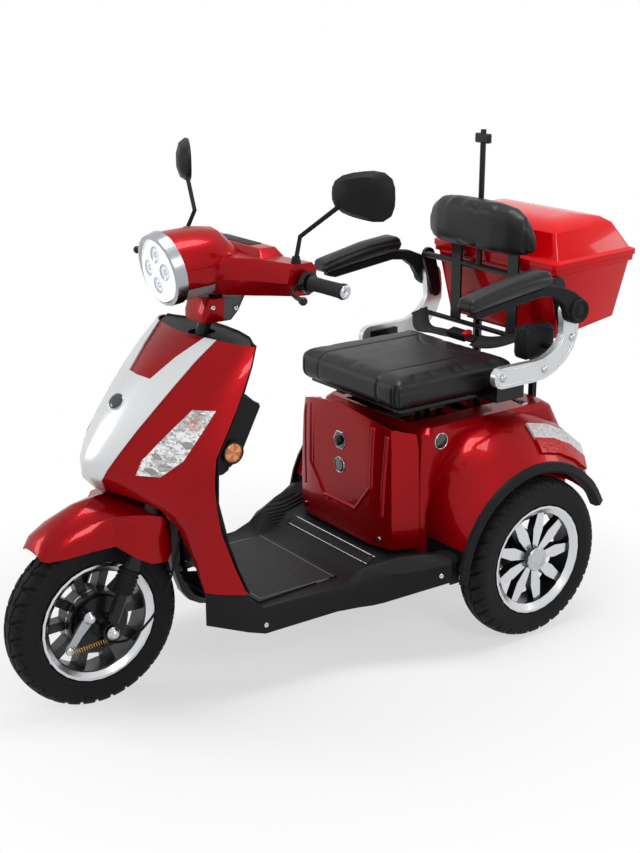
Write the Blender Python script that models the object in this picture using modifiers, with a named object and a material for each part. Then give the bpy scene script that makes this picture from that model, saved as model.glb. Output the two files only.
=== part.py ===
"""Electric tricycle with a covered front end, a foot deck, a padded seat and a rear top box.

Metres, +Z up. The vehicle faces -Y and its left side is +X. Lengths along Y are given from
the rear axle, and one empty moves the whole vehicle so that the middle of its length is at Y 0.
"""

import math

import bmesh
import bpy
from mathutils import Matrix, Vector

# Driving sizes of the whole vehicle
WHEELBASE = 1.046
HALF_TRACK = 0.325
TYRE_RADIUS = 0.206
RAKE = math.radians(24)
STEER_TRAIL_OFFSET = 0.032
BOX_REAR = 0.424
HINGE_OVERHANG = 0.020
HINGE_RADIUS = 0.007
REAR_REACH = BOX_REAR + HINGE_OVERHANG + HINGE_RADIUS

# Clearances
SEAT_GAP = 0.0004
TRIM_GAP = 0.0006
FIT_GAP = 0.0015
MIRROR_WELD = 0.00005

# Tyres and rims
TYRE_HALF_WIDTH = 0.042
RIM_LIP_RADIUS = 0.140
RIM_HALF_WIDTH = 0.0385
RIM_LIP_THICKNESS = 0.0045
BEAD_RADIUS = 0.130
BARREL_INNER_RADIUS = 0.120
WHEEL_STEPS = 28
HUB_STEPS = 16
SPOKE_COUNT_FRONT = 10
SPOKE_COUNT_REAR = 9
STUB_RADIUS = 0.012
STUB_DEPTH = 0.016

# Front hub, brake and fork
DRUM_RADIUS = 0.075
DRUM_WALL = 0.007
FORK_HALF_SPREAD = 0.086
FOOT_HALF_WIDTH = 0.011
LEG_RADIUS = 0.0185
SLIDER_RADIUS = 0.0145
SLIDER_TOP = 0.315
STEERER_RADIUS = 0.0150
STEERER_TOP = 0.955
AXLE_RADIUS = 0.007
CROWN_HEIGHT = 0.525
LEVER_THICKNESS = 0.006
CABLE_RADIUS = 0.0032

# Handlebar and head
BAR_RADIUS = 0.011
BAR_HEIGHT = 0.975
BAR_Y = -0.652
BAR_BEND_X = 0.12
BAR_END_X = 0.352
BAR_SWEEP = 0.22
BAR_DROP = 0.06
GRIP_RADIUS = 0.0165
GRIP_INNER_X = 0.262
HEAD_SIDES = 16
WING_TOP = 1.006
LAMP_RADIUS = 0.079
LAMP_CENTRE = Vector((0, -0.815, 0.982))
LAMP_TILT = math.radians(12)
MIRROR_FOOT = Vector((0.226, -0.634, WING_TOP))
MIRROR_KNEE = Vector((0.216, -0.616, 1.059))
MIRROR_CENTRE = Vector((0.352, -0.552, 1.157))
MIRROR_HALF_WIDTH = 0.072
MIRROR_HALF_HEIGHT = 0.050
MIRROR_TOE_IN = math.radians(27)

# Shell walls and trim
PANEL_WALL = 0.0035
TRIM_WALL = 0.003
LAMP_WALL = 0.006
KNEE_SHELF_Z = 0.824
KNEE_FOOT_GAP = 0.0032
POCKET_HALF_WIDTH = 0.188
STUD_RADIUS = 0.010
STUD_Z = 0.700
STUD_TIP_Y = -0.716

# Foot deck
DECK_TOP = 0.210
DECK_LEDGE_Y = -0.755
DECK_LEDGE_Z = 0.256
DECK_LEDGE_SLOPE = 0.20
WHEEL_SWEEP_RADIUS = 0.222
MAT_THICKNESS = 0.004
MAT_FRONT = -0.706
MAT_REAR = -0.470

# Rear body
BODY_HALF_WIDTH = 0.215
BODY_TOP = 0.548
BODY_BOTTOM = 0.240
BODY_FRONT = -0.262
BODY_REAR = 0.262
BODY_WALL = 0.005
COVER_WALL = 0.0055
PEG_X = 0.150
PEG_Z = 0.273
PEG_ROOT_Y = -0.197
PEG_RADIUS = 0.005
FENDER_EDGE_RADIUS = 0.240
FENDER_EDGE_X = 0.352
FENDER_RISE = 0.092
FLARE_STEPS = 16
FLARE_ANGLES = (181, 25)

# Frame
POST_X = 0.11
POST_Y = 0.205
TRAY_Z = 0.2975
SEAT_PLATE_TOP = 0.574

# Seat
CUSHION_HALF_WIDTH = 0.208
CUSHION_FRONT = -0.335
CUSHION_REAR = 0.060
CUSHION_BOTTOM = 0.603
CUSHION_TOP = 0.680
BRACKET_X = 0.2600
BRACKET_THICKNESS = 0.018
BRACKET_HALF_HEIGHT = 0.0265
CROSS_BAR_Y = 0.127
CROSS_BAR_Z = 0.866
CROSS_BAR_RADIUS = 0.0085
UPRIGHT_X = 0.107
UPRIGHT_WIDTH = 0.036
UPRIGHT_TOP = 1.000
PAD_BACK = 0.118
STAFF_X = -0.028
STAFF_TOP = 1.218
BELT_BAR_Y = 0.123
BELT_BAR_Z = 0.708
BELT_BAR_RADIUS = 0.007
ARM_PIVOT = Vector((0, 0.165, 0.804))
ARM_X = 0.285
ARM_WIDTH = 0.024
KNOB_RADIUS = 0.033
PAD_WIDTH = 0.056

# Top box
BOX_HALF_WIDTH = 0.224
BOX_FRONT = 0.152
BOX_RIM_HEIGHT = 0.893
BOX_DEPTH = 0.1875
BOX_CORNER = 0.014
BOX_RISE = 0.04
BOX_FLOOR_SLOPE = 0.15
BOX_WALL = 0.004
HINGE_X = 0.140
PIN_RADIUS = 0.0035
LATCH_X = 0.177
RIM_REAR_HEIGHT = BOX_RIM_HEIGHT + (BOX_REAR - BOX_FRONT) * BOX_RISE
LID_HINGE = Vector((0, BOX_REAR + HINGE_OVERHANG, RIM_REAR_HEIGHT - 0.004))

PAINT_RED = ("paint_red", (0.55, 0.006, 0.012), 0.18, 0.35)
SILVER = ("paint_silver", (0.60, 0.60, 0.62), 0.30, 0.60)
BLACK_PLASTIC = ("plastic_black", (0.022, 0.022, 0.024), 0.55, 0.0)
BLACK_STEEL = ("steel_black", (0.015, 0.015, 0.017), 0.35, 0.2)
RUBBER = ("rubber", (0.018, 0.018, 0.018), 0.85, 0.0)
LEATHER = ("leatherette", (0.016, 0.016, 0.018), 0.45, 0.0)
CHROME = ("chrome", (0.75, 0.76, 0.78), 0.12, 1.0)
ALLOY = ("alloy_silver", (0.55, 0.56, 0.58), 0.32, 0.9)
CLEAR_LENS = ("lens_clear", (0.85, 0.87, 0.90), 0.10, 0.0)
RED_LENS = ("lens_red", (0.60, 0.02, 0.02), 0.12, 0.0)
GREY_PLASTIC = ("plastic_grey", (0.10, 0.10, 0.11), 0.5, 0.0)
WEBBING = ("webbing", (0.012, 0.012, 0.013), 0.8, 0.0)


def clear_scene():
    for obj in list(bpy.data.objects):
        bpy.data.objects.remove(obj)


clear_scene()
PARTS = bpy.data.collections.new("electric_tricycle")
bpy.context.scene.collection.children.link(PARTS)
TO_SIDE_VIEW = Matrix(((0, 0, 1, 0), (1, 0, 0, 0), (0, 1, 0, 0), (0, 0, 0, 1)))
SIDEWAYS = Matrix.Scale(-1, 3, (1, 0, 0))
STEER_DIRECTION = Vector((0, math.sin(RAKE), math.cos(RAKE)))
FRONT_AXLE = Vector((0, -WHEELBASE, TYRE_RADIUS))
STEER_FOOT = FRONT_AXLE + Vector((0, STEER_TRAIL_OFFSET / math.cos(RAKE), 0))


def on_steering_axis(height):
    """The point of the steering axis at a height above the ground."""
    return STEER_FOOT + STEER_DIRECTION * ((height - STEER_FOOT.z) / STEER_DIRECTION.z)


def on_fork_leg(height, side):
    """The point of a fork leg's centre line at a height, side 1 for left and -1 for right."""
    foot = Vector((side * FORK_HALF_SPREAD, FRONT_AXLE.y, FRONT_AXLE.z))
    return foot + STEER_DIRECTION * ((height - foot.z) / STEER_DIRECTION.z)


def make_pivot(name, parent, place):
    """An empty on a joint's axis. place is measured from the rear axle's ground point."""
    pivot = bpy.data.objects.new(name, None)
    pivot["place"] = list(place)
    if parent is not None:
        pivot.parent = parent
        pivot.location = Vector(place) - Vector(parent["place"])
    PARTS.objects.link(pivot)
    return pivot


VEHICLE_SHIFT = (WHEELBASE + TYRE_RADIUS - REAR_REACH) / 2
VEHICLE = make_pivot("tricycle", None, (0, 0, 0))
VEHICLE.location = (0, VEHICLE_SHIFT, 0)
STEERING = make_pivot("steering_pivot", VEHICLE, on_steering_axis(0.86))
FRONT_WHEEL = make_pivot("front_wheel_pivot", STEERING, FRONT_AXLE)
REAR_LEFT = make_pivot("rear_wheel_left_pivot", VEHICLE, (HALF_TRACK, 0, TYRE_RADIUS))
REAR_RIGHT = make_pivot("rear_wheel_right_pivot", VEHICLE, (-HALF_TRACK, 0, TYRE_RADIUS))
SEAT = make_pivot("seat_slide", VEHICLE, (0, 0, CUSHION_BOTTOM))
ARM_LEFT = make_pivot("armrest_left_pivot", SEAT, (ARM_X, ARM_PIVOT.y, ARM_PIVOT.z))
ARM_RIGHT = make_pivot("armrest_right_pivot", SEAT, (-ARM_X, ARM_PIVOT.y, ARM_PIVOT.z))
LID = make_pivot("box_lid_pivot", VEHICLE, LID_HINGE)


def material(spec):
    name, colour, roughness, metallic = spec
    made = bpy.data.materials.get(name)
    if made is None:
        made = bpy.data.materials.new(name)
        made.use_nodes = True
        shader = made.node_tree.nodes["Principled BSDF"]
        shader.inputs["Base Color"].default_value = (*colour, 1)
        shader.inputs["Roughness"].default_value = roughness
        shader.inputs["Metallic"].default_value = metallic
        made.diffuse_color = (*colour, 1)
    return made


def add_mesh(name, mesh, spec, pivot):
    """A named piece whose mesh is in vehicle coordinates, carried by a pivot."""
    mesh.materials.clear()
    mesh.materials.append(material(spec))
    obj = bpy.data.objects.new(name, mesh)
    PARTS.objects.link(obj)
    obj.parent = pivot
    obj.matrix_parent_inverse = Matrix.Translation(-Vector(pivot["place"]))
    return obj


def mesh_of(bm):
    bmesh.ops.recalc_face_normals(bm, faces=bm.faces)
    mesh = bpy.data.meshes.new("piece")
    bm.to_mesh(mesh)
    bm.free()
    return mesh


def realised(obj):
    """The object's evaluated mesh, welded, in vehicle coordinates. The object is removed."""
    bpy.context.view_layer.update()
    graph = bpy.context.evaluated_depsgraph_get()
    mesh = bpy.data.meshes.new_from_object(obj.evaluated_get(graph))
    place = Matrix.Translation((0, -VEHICLE_SHIFT, 0)) @ obj.matrix_world
    if obj.parent is None:
        place = obj.matrix_world
    mesh.transform(place)
    bpy.data.objects.remove(obj)
    bm = bmesh.new()
    bm.from_mesh(mesh)
    bmesh.ops.remove_doubles(bm, verts=bm.verts, dist=1e-5)
    remove_flaps(bm)
    bmesh.ops.recalc_face_normals(bm, faces=bm.faces)
    bm.to_mesh(mesh)
    bm.free()
    return mesh


def remove_flaps(bm):
    """Deletes faces that lie back to back on the same corners and enclose nothing."""
    by_corners = {}
    for face in bm.faces:
        by_corners.setdefault(frozenset(face.verts), []).append(face)
    flaps = [face for faces in by_corners.values() if len(faces) > 1 for face in faces]
    bmesh.ops.delete(bm, geom=flaps, context="FACES")


def loose(mesh):
    """A helper object for a mesh that will be joined or cut away."""
    obj = bpy.data.objects.new("helper", mesh)
    PARTS.objects.link(obj)
    return obj


def boolean(base, operands, operation):
    """The mesh of base with every operand mesh joined to it or cut from it."""
    obj = loose(base)
    helpers = [loose(mesh) for mesh in operands]
    for helper in helpers:
        modifier = obj.modifiers.new("boolean", "BOOLEAN")
        modifier.operation = operation
        modifier.object = helper
        modifier.solver = "EXACT"
    mesh = realised(obj)
    for helper in helpers:
        bpy.data.objects.remove(helper)
    return mesh


def union(meshes):
    return boolean(meshes[0], meshes[1:], "UNION")


def cut(base, cutters):
    return boolean(base, cutters, "DIFFERENCE")


def with_modifiers(mesh, bevel=0.0, segments=2, levels=0, angle=math.radians(40)):
    """The mesh after an optional subdivision and an optional edge bevel."""
    obj = loose(mesh)
    if levels:
        subdivision = obj.modifiers.new("subdivision", "SUBSURF")
        subdivision.levels = levels
        subdivision.render_levels = levels
    if bevel:
        rounding = obj.modifiers.new("bevel", "BEVEL")
        rounding.width = bevel
        rounding.segments = segments
        rounding.limit_method = "ANGLE"
        rounding.angle_limit = angle
    return realised(obj)


def block(size, centre, bevel=0.0, segments=2, turn=None):
    """A box, its edges rounded, turned about its own centre."""
    bm = bmesh.new()
    bmesh.ops.create_cube(bm, size=1)
    bmesh.ops.scale(bm, verts=bm.verts, vec=size)
    mesh = mesh_of(bm)
    if bevel:
        mesh = with_modifiers(mesh, bevel, segments)
    if turn is not None:
        mesh.transform(turn.to_4x4())
    mesh.transform(Matrix.Translation(centre))
    return mesh


def rod(start, end, radius, end_radius=None, sides=10):
    """A round bar or cone between two points."""
    start, end = Vector(start), Vector(end)
    bm = bmesh.new()
    bmesh.ops.create_cone(
        bm,
        cap_ends=True,
        segments=sides,
        radius1=radius,
        radius2=radius if end_radius is None else end_radius,
        depth=(end - start).length,
    )
    mesh = mesh_of(bm)
    turn = (end - start).to_track_quat("Z", "Y").to_matrix().to_4x4()
    mesh.transform(Matrix.Translation((start + end) / 2) @ turn)
    return mesh


def tube(points, radius, sides_resolution=1, closed=False):
    """A bent round tube through its points, with filled ends."""
    curve = bpy.data.curves.new("tube", "CURVE")
    curve.dimensions = "3D"
    curve.bevel_depth = radius
    curve.bevel_resolution = sides_resolution
    curve.use_fill_caps = True
    spline = curve.splines.new("POLY")
    spline.points.add(len(points) - 1)
    for target, point in zip(spline.points, points):
        target.co = (*point, 1)
    spline.use_cyclic_u = closed
    obj = bpy.data.objects.new("tube", curve)
    PARTS.objects.link(obj)
    return realised(obj)


def smooth_path(points, steps):
    """Points along a Catmull-Rom curve through the given points."""
    points = [Vector(p) for p in points]
    ends = [points[0] * 2 - points[1]] + points + [points[-1] * 2 - points[-2]]
    path = []
    for i in range(1, len(ends) - 2):
        for k in range(steps):
            path.append(catmull(ends[i - 1 : i + 3], k / steps))
    path.append(points[-1])
    return path


def catmull(four, t):
    a, b, c, d = four
    return 0.5 * (
        2 * b + (c - a) * t + (2 * a - 5 * b + 4 * c - d) * t**2 + (3 * b - a - 3 * c + d) * t**3
    )


def plate(outline, thickness, place=TO_SIDE_VIEW, offset=0.0, bevel=0.0, segments=2):
    """A flat outline given a thickness. The default place reads outline points as (y, z)."""
    curve = bpy.data.curves.new("plate", "CURVE")
    curve.dimensions = "2D"
    curve.fill_mode = "BOTH"
    curve.extrude = thickness / 2
    spline = curve.splines.new("POLY")
    spline.points.add(len(outline) - 1)
    for target, point in zip(spline.points, outline):
        target.co = (point[0], point[1], 0, 1)
    spline.use_cyclic_u = True
    obj = bpy.data.objects.new("plate", curve)
    PARTS.objects.link(obj)
    obj.matrix_world = Matrix.Translation((offset, 0, 0)) @ place
    mesh = realised(obj)
    return with_modifiers(mesh, bevel, segments) if bevel else mesh


def strip_outline(centre_line, half_widths, cap_points=5):
    """The outline of a bar of varying width along a line of (y, z) points, with round ends."""
    line = [Vector(p).to_2d() for p in centre_line]
    left, right = [], []
    for i, point in enumerate(line):
        along = (line[min(i + 1, len(line) - 1)] - line[max(i - 1, 0)]).normalized()
        side = Vector((-along.y, along.x))
        left.append(point + side * half_widths[i])
        right.append(point - side * half_widths[i])
    outline = list(left)
    outline += round_cap(line[-1], line[-1] - line[-2], half_widths[-1], cap_points)
    outline += reversed(right)
    outline += round_cap(line[0], line[0] - line[1], half_widths[0], cap_points)
    return outline


def round_cap(centre, outwards, radius, count):
    """Points of a half circle round an end, from its left side to its right side."""
    start = math.atan2(outwards.y, outwards.x) + math.pi / 2
    angles = [start - math.pi * (k + 1) / (count + 1) for k in range(count)]
    return [centre + Vector((math.cos(a), math.sin(a))) * radius for a in angles]


def turned(profile, steps=WHEEL_STEPS, centre=(0, 0, 0), direction=(1, 0, 0), closed=True):
    """A profile of (radius, height) points, running down its outer side, spun about an axis."""
    bm = bmesh.new()
    verts = [bm.verts.new((radius, 0, height)) for radius, height in profile]
    count = len(verts)
    for i in range(count if closed else count - 1):
        bm.edges.new((verts[i], verts[(i + 1) % count]))
    mesh = bpy.data.meshes.new("turned")
    bm.to_mesh(mesh)
    bm.free()
    obj = loose(mesh)
    screw = obj.modifiers.new("screw", "SCREW")
    screw.steps = steps
    screw.render_steps = steps
    screw.use_merge_vertices = True
    screw.merge_threshold = 1e-5
    obj.rotation_mode = "QUATERNION"
    obj.rotation_quaternion = Vector(direction).to_track_quat("Z", "Y")
    obj.location = centre
    return realised(obj)


def spun(outline, count, thickness, x_offset, centre):
    """Copies of a flat (radial, sideways) outline set round an axle that lies along X."""
    bm = bmesh.new()
    for k in range(count):
        flat = plate(outline, thickness, offset=x_offset)
        flat.transform(Matrix.Rotation(2 * math.pi * k / count, 4, "X"))
        bm.from_mesh(flat)
    mesh = mesh_of(bm)
    mesh.transform(Matrix.Translation(centre))
    return mesh


def sheet(grid, wall, mirror=False, outwards=False, skip=()):
    """A panel of constant wall from a grid of points.

    Seen from outside, the points of a row run to the right and the rows run down. The wall
    grows behind the grid, or in front of it for outwards. skip lists (row, column) cells to
    leave open.
    """
    bm = bmesh.new()
    rows = [[bm.verts.new(point) for point in row] for row in grid]
    for j, (a, b) in enumerate(zip(rows, rows[1:])):
        for i in range(len(a) - 1):
            if (j, i) not in skip:
                bm.faces.new((a[i], b[i], b[i + 1]))
                bm.faces.new((a[i], b[i + 1], a[i + 1]))
    spare = [vert for vert in bm.verts if not vert.link_faces]
    bmesh.ops.delete(bm, geom=spare, context="VERTS")
    mesh = bpy.data.meshes.new("sheet")
    bm.to_mesh(mesh)
    bm.free()
    obj = loose(mesh)
    if mirror:
        half = obj.modifiers.new("mirror", "MIRROR")
        half.merge_threshold = MIRROR_WELD
    solidify = obj.modifiers.new("solidify", "SOLIDIFY")
    solidify.thickness = wall
    solidify.offset = 1 if outwards else -1
    solidify.use_even_offset = True
    return realised(obj)


def closed_loft(sections, mirror=False):
    """A solid through rings of equal point counts, its end rings filled.

    For mirror the first ring lies in the middle plane and the other half is a mirror image.
    """
    bm = bmesh.new()
    rings = [[bm.verts.new(point) for point in ring] for ring in sections]
    for a, b in zip(rings, rings[1:]):
        for i in range(len(a)):
            j = (i + 1) % len(a)
            bm.faces.new((a[i], a[j], b[j], b[i]))
    bm.faces.new(rings[-1])
    if not mirror:
        bm.faces.new(rings[0])
        return mesh_of(bm)
    obj = loose(mesh_of(bm))
    half = obj.modifiers.new("mirror", "MIRROR")
    half.merge_threshold = MIRROR_WELD
    return realised(obj)


def rounded_ring(half_x, half_y, radius, centre, height, corner_steps=3):
    """Points of a level rectangle with round corners."""
    points = []
    for quarter, (sx, sy) in enumerate(((1, 1), (-1, 1), (-1, -1), (1, -1))):
        for k in range(corner_steps + 1):
            angle = math.pi / 2 * (quarter + k / corner_steps)
            x = sx * (half_x - radius) + radius * math.cos(angle)
            y = sy * (half_y - radius) + radius * math.sin(angle)
            points.append((centre[0] + x, centre[1] + y, height))
    return points


def reflected(mesh):
    """A copy of the mesh on the other side of the middle plane."""
    copy = mesh.copy()
    copy.transform(Matrix.Scale(-1, 4, (1, 0, 0)))
    copy.flip_normals()
    return copy


def add_pair(name, left, spec, pivots):
    """A left piece and its mirror image on the right."""
    add_mesh(name + "_left", left, spec, pivots[0])
    add_mesh(name + "_right", reflected(left), spec, pivots[1])


def between(table, x):
    """Linear reading of a table of (x, value) that runs upwards in x."""
    for (x1, a), (x2, b) in zip(table, table[1:]):
        if x <= x2:
            return a + (b - a) * min(max((x - x1) / (x2 - x1), 0), 1)
    return table[-1][1]


# Wheels, each a tubeless tyre seated on a cast alloy rim
def tyre_mesh(centre):
    inside = RIM_HALF_WIDTH - RIM_LIP_THICKNESS - SEAT_GAP
    half = [
        (BEAD_RADIUS + SEAT_GAP, inside),
        (RIM_LIP_RADIUS + SEAT_GAP, inside),
        (RIM_LIP_RADIUS + SEAT_GAP + 0.006, TYRE_HALF_WIDTH - 0.001),
        (TYRE_RADIUS - 0.022, TYRE_HALF_WIDTH),
        (TYRE_RADIUS - 0.008, TYRE_HALF_WIDTH - 0.012),
        (TYRE_RADIUS, 0),
    ]
    profile = half + [(radius, -height) for radius, height in reversed(half[:-1])]
    return turned(profile, centre=centre)


def rim_barrel(centre):
    step = RIM_HALF_WIDTH - RIM_LIP_THICKNESS
    half = [
        (BARREL_INNER_RADIUS, step - 0.006),
        (RIM_LIP_RADIUS - 0.006, RIM_HALF_WIDTH),
        (RIM_LIP_RADIUS, RIM_HALF_WIDTH),
        (RIM_LIP_RADIUS, step),
        (BEAD_RADIUS, step),
    ]
    profile = half + [(radius, -height) for radius, height in reversed(half)]
    return turned(profile, centre=centre)


def make_wheel(name, pivot, hub, spokes):
    centre = Vector(pivot["place"])
    add_mesh(name + "_tyre", tyre_mesh(centre), RUBBER, pivot)
    add_mesh(name + "_rim", union([rim_barrel(centre), spokes, hub]), ALLOY, pivot)


def leaf_outline(inner, outer, widths):
    """A spoke's outline along a radius, with its half width at equal steps."""
    steps = len(widths) - 1
    radii = [inner + (outer - inner) * k / steps for k in range(len(widths))]
    right = list(zip(radii, widths))
    return right + [(radius, -width) for radius, width in reversed(right)]


def make_wheels():
    bore = AXLE_RADIUS + SEAT_GAP
    drum_hub = (
        (bore, -0.045),
        (0.030, -0.045),
        (0.045, -0.030),
        (DRUM_RADIUS, -0.022),
        (DRUM_RADIUS, 0.034),
        (DRUM_RADIUS - DRUM_WALL, 0.034),
        (DRUM_RADIUS - DRUM_WALL, 0.020),
        (bore, 0.020),
    )
    outline = leaf_outline(0.050, BARREL_INNER_RADIUS + 0.003, (0.012, 0.011, 0.012))
    hub = turned(drum_hub, HUB_STEPS, FRONT_AXLE)
    spokes = spun(outline, SPOKE_COUNT_FRONT, 0.030, -0.010, FRONT_AXLE)
    make_wheel("front", FRONT_WHEEL, hub, spokes)
    stub_room = STUB_RADIUS + SEAT_GAP
    blind_hub = (
        (0, 0.030),
        (0.022, 0.030),
        (0.030, 0.018),
        (0.030, -0.030),
        (stub_room, -0.030),
        (stub_room, STUB_DEPTH + SEAT_GAP),
        (0, STUB_DEPTH + SEAT_GAP),
    )
    outline = leaf_outline(0.026, BARREL_INNER_RADIUS + 0.003, (0.008, 0.016, 0.010))
    for side, name, pivot in ((1, "rear_left", REAR_LEFT), (-1, "rear_right", REAR_RIGHT)):
        centre = Vector(pivot["place"])
        hub = turned([(r, side * h) for r, h in blind_hub], HUB_STEPS, centre, closed=False)
        spokes = spun(outline, SPOKE_COUNT_REAR, 0.022, side * 0.010, centre)
        make_wheel(name, pivot, hub, spokes)


# Front fork with its axle, mudguard, drum brake plate and cable
def make_fork():
    crown_y = on_fork_leg(CROWN_HEIGHT, 1).y
    steerer = rod(on_steering_axis(CROWN_HEIGHT - 0.01), on_steering_axis(STEERER_TOP), STEERER_RADIUS)
    crown_centre = (on_steering_axis(CROWN_HEIGHT) + Vector((0, crown_y, CROWN_HEIGHT))) / 2
    lean = Matrix.Rotation(-RAKE, 3, "X")
    spread = 2 * (FORK_HALF_SPREAD + LEG_RADIUS)
    pieces = [steerer, block((spread, 0.075, 0.022), crown_centre, 0.008, 1, lean)]
    reach = Vector((FORK_HALF_SPREAD + FOOT_HALF_WIDTH, 0, 0))
    nut = Vector((0.010, 0, 0))
    pieces.append(rod(FRONT_AXLE - reach, FRONT_AXLE + reach, AXLE_RADIUS))
    for side in (1, -1):
        top = on_fork_leg(CROWN_HEIGHT + 0.012, side)
        pieces.append(rod(on_fork_leg(SLIDER_TOP, side), top, LEG_RADIUS))
        pieces.append(rod(on_fork_leg(0.225, side), on_fork_leg(SLIDER_TOP + 0.01, side), SLIDER_RADIUS))
        foot = Vector((side * FORK_HALF_SPREAD, FRONT_AXLE.y, FRONT_AXLE.z))
        half = Vector((FOOT_HALF_WIDTH, 0, 0))
        pieces.append(rod(foot - half, foot + half, 0.022))
        end = FRONT_AXLE + reach * side
        pieces.append(rod(end - nut * side * 0.2, end + nut * side, 0.011, sides=6))
    add_mesh("fork", union(pieces), BLACK_STEEL, STEERING)


MUDGUARD_STATIONS = (
    # y, ridge z, shoulder x, shoulder z, edge x, edge z
    (-1.182, 0.400, 0.030, 0.398, 0.042, 0.392),
    (-1.168, 0.428, 0.040, 0.420, 0.055, 0.388),
    (-1.126, 0.458, 0.050, 0.440, 0.063, 0.389),
    (-1.070, 0.485, 0.056, 0.450, 0.067, 0.393),
    (-1.015, 0.494, 0.062, 0.460, 0.074, 0.395),
    (-0.985, 0.493, 0.096, 0.468, 0.108, 0.372),
    (-0.950, 0.490, 0.113, 0.466, 0.117, 0.352),
    (-0.910, 0.476, 0.111, 0.452, 0.114, 0.346),
    (-0.886, 0.450, 0.090, 0.430, 0.096, 0.360),
)


def make_mudguard():
    """A shell over the tyre that widens into a cover round each fork leg."""
    grid = []
    for y, ridge, shoulder_x, shoulder_z, edge_x, edge_z in MUDGUARD_STATIONS:
        row = [(0, y, ridge), (shoulder_x * 0.5, y, ridge * 0.70 + shoulder_z * 0.30)]
        row.append((shoulder_x, y, shoulder_z))
        row.append((edge_x * 0.97, y, (shoulder_z + edge_z) / 2))
        row.append((edge_x, y, edge_z))
        grid.append(row)
    shell = sheet(list(reversed(grid)), PANEL_WALL, mirror=True)
    legs = [
        rod(on_fork_leg(SLIDER_TOP, side), on_fork_leg(0.56, side), LEG_RADIUS + SEAT_GAP)
        for side in (1, -1)
    ]
    add_mesh("mudguard", cut(shell, legs), PAINT_RED, STEERING)


CAM_PLACE = Vector((0.055, -0.042, 0.034))
CABLE_STOP = Vector((0.055, 0.002, -0.042))
CABLE_ROUTE = (
    (0.058, -0.842, 0.548),
    (0.098, -0.842, 0.512),
    (0.114, -0.860, 0.452),
    (0.119, -0.884, 0.380),
    (0.119, -0.905, 0.310),
    (0.115, -0.935, 0.245),
    (0.104, -0.975, 0.195),
    (0.088, -1.008, 0.170),
)


def make_brake():
    """The plate that closes the front drum, with its cam lever, and the cable to it."""
    outer = FORK_HALF_SPREAD - FOOT_HALF_WIDTH - SEAT_GAP
    rim = DRUM_RADIUS - DRUM_WALL - 0.002
    bore = AXLE_RADIUS + SEAT_GAP
    profile = ((bore, outer), (0.018, outer), (0.030, 0.050), (rim, 0.044), (rim, 0.024), (bore, 0.024))
    plate_mesh = turned(profile, 20, FRONT_AXLE)
    cam = FRONT_AXLE + CAM_PLACE
    boss_end = cam + Vector((0.012, 0, 0))
    boss = rod(cam + Vector((-0.015, 0, 0)), boss_end, 0.012)
    stop = block((0.022, 0.014, 0.022), FRONT_AXLE + CABLE_STOP, 0.003, 1)
    add_mesh("brake_plate", union([plate_mesh, boss, stop]), BLACK_STEEL, STEERING)
    line = [(cam.y, cam.z), (cam.y - 0.028, cam.z - 0.032), (cam.y - 0.050, cam.z - 0.062)]
    outline = strip_outline(line, (0.013, 0.010, 0.009))
    arm = plate(outline, LEVER_THICKNESS, offset=boss_end.x + SEAT_GAP + LEVER_THICKNESS / 2)
    add_mesh("brake_arm", arm, CHROME, STEERING)
    end = FRONT_AXLE + CABLE_STOP + Vector((0.008, 0.0075, 0))
    cable = tube(smooth_path(CABLE_ROUTE + (end,), 2), CABLE_RADIUS)
    add_mesh("brake_cable", cable, BLACK_PLASTIC, STEERING)


# Handlebar and the covered head
HEAD_STATIONS = (
    # y, half width, top z, bottom z
    (-0.850, 0.079, 1.061, 0.903),
    (-0.815, 0.081, 1.062, 0.903),
    (-0.780, 0.083, 1.064, 0.905),
    (-0.745, 0.084, 1.065, 0.908),
    (-0.706, 0.082, 1.060, 0.912),
    (-0.672, 0.070, 1.030, 0.925),
    (-0.640, 0.052, 1.003, 0.940),
)
WING_STATIONS = (
    # x, front y, back y, bottom z
    (0.000, -0.760, -0.612, 0.918),
    (0.080, -0.745, -0.610, 0.920),
    (0.130, -0.705, -0.606, 0.922),
    (0.180, -0.685, -0.598, 0.928),
    (0.240, -0.666, -0.590, 0.935),
)


def head_ring(y, half_width, top, bottom):
    centre_z, half_height = (top + bottom) / 2, (top - bottom) / 2
    angles = [2 * math.pi * k / HEAD_SIDES for k in range(HEAD_SIDES)]
    return [(half_width * math.cos(a), y, centre_z + half_height * math.sin(a)) for a in angles]


def wing_mesh():
    """The cover over the handlebar, as a solid of rounded sections."""
    rings = []
    for x, front, back, bottom in WING_STATIONS:
        section = (
            (front, (WING_TOP + bottom) / 2 - 0.004),
            (front + 0.008, WING_TOP - 0.012),
            (front + 0.020, WING_TOP),
            (back - 0.012, WING_TOP),
            (back, WING_TOP - 0.016),
            (back - 0.004, bottom + 0.010),
            (back - 0.020, bottom),
            (front + 0.020, bottom + 0.002),
        )
        rings.append([(x, y, z) for y, z in section])
    return closed_loft(rings, mirror=True)


def bar_point(side, x):
    """The handlebar's centre line: level in the middle, swept back and down to the grips."""
    swept = max(0.0, x - BAR_BEND_X)
    return Vector((side * x, BAR_Y + swept * BAR_SWEEP, BAR_HEIGHT - swept * BAR_DROP))


def bar_tube(radius):
    ends = ((-1, BAR_END_X), (-1, BAR_BEND_X), (1, BAR_BEND_X), (1, BAR_END_X))
    return tube([bar_point(side, x) for side, x in ends], radius, 2)


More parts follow.
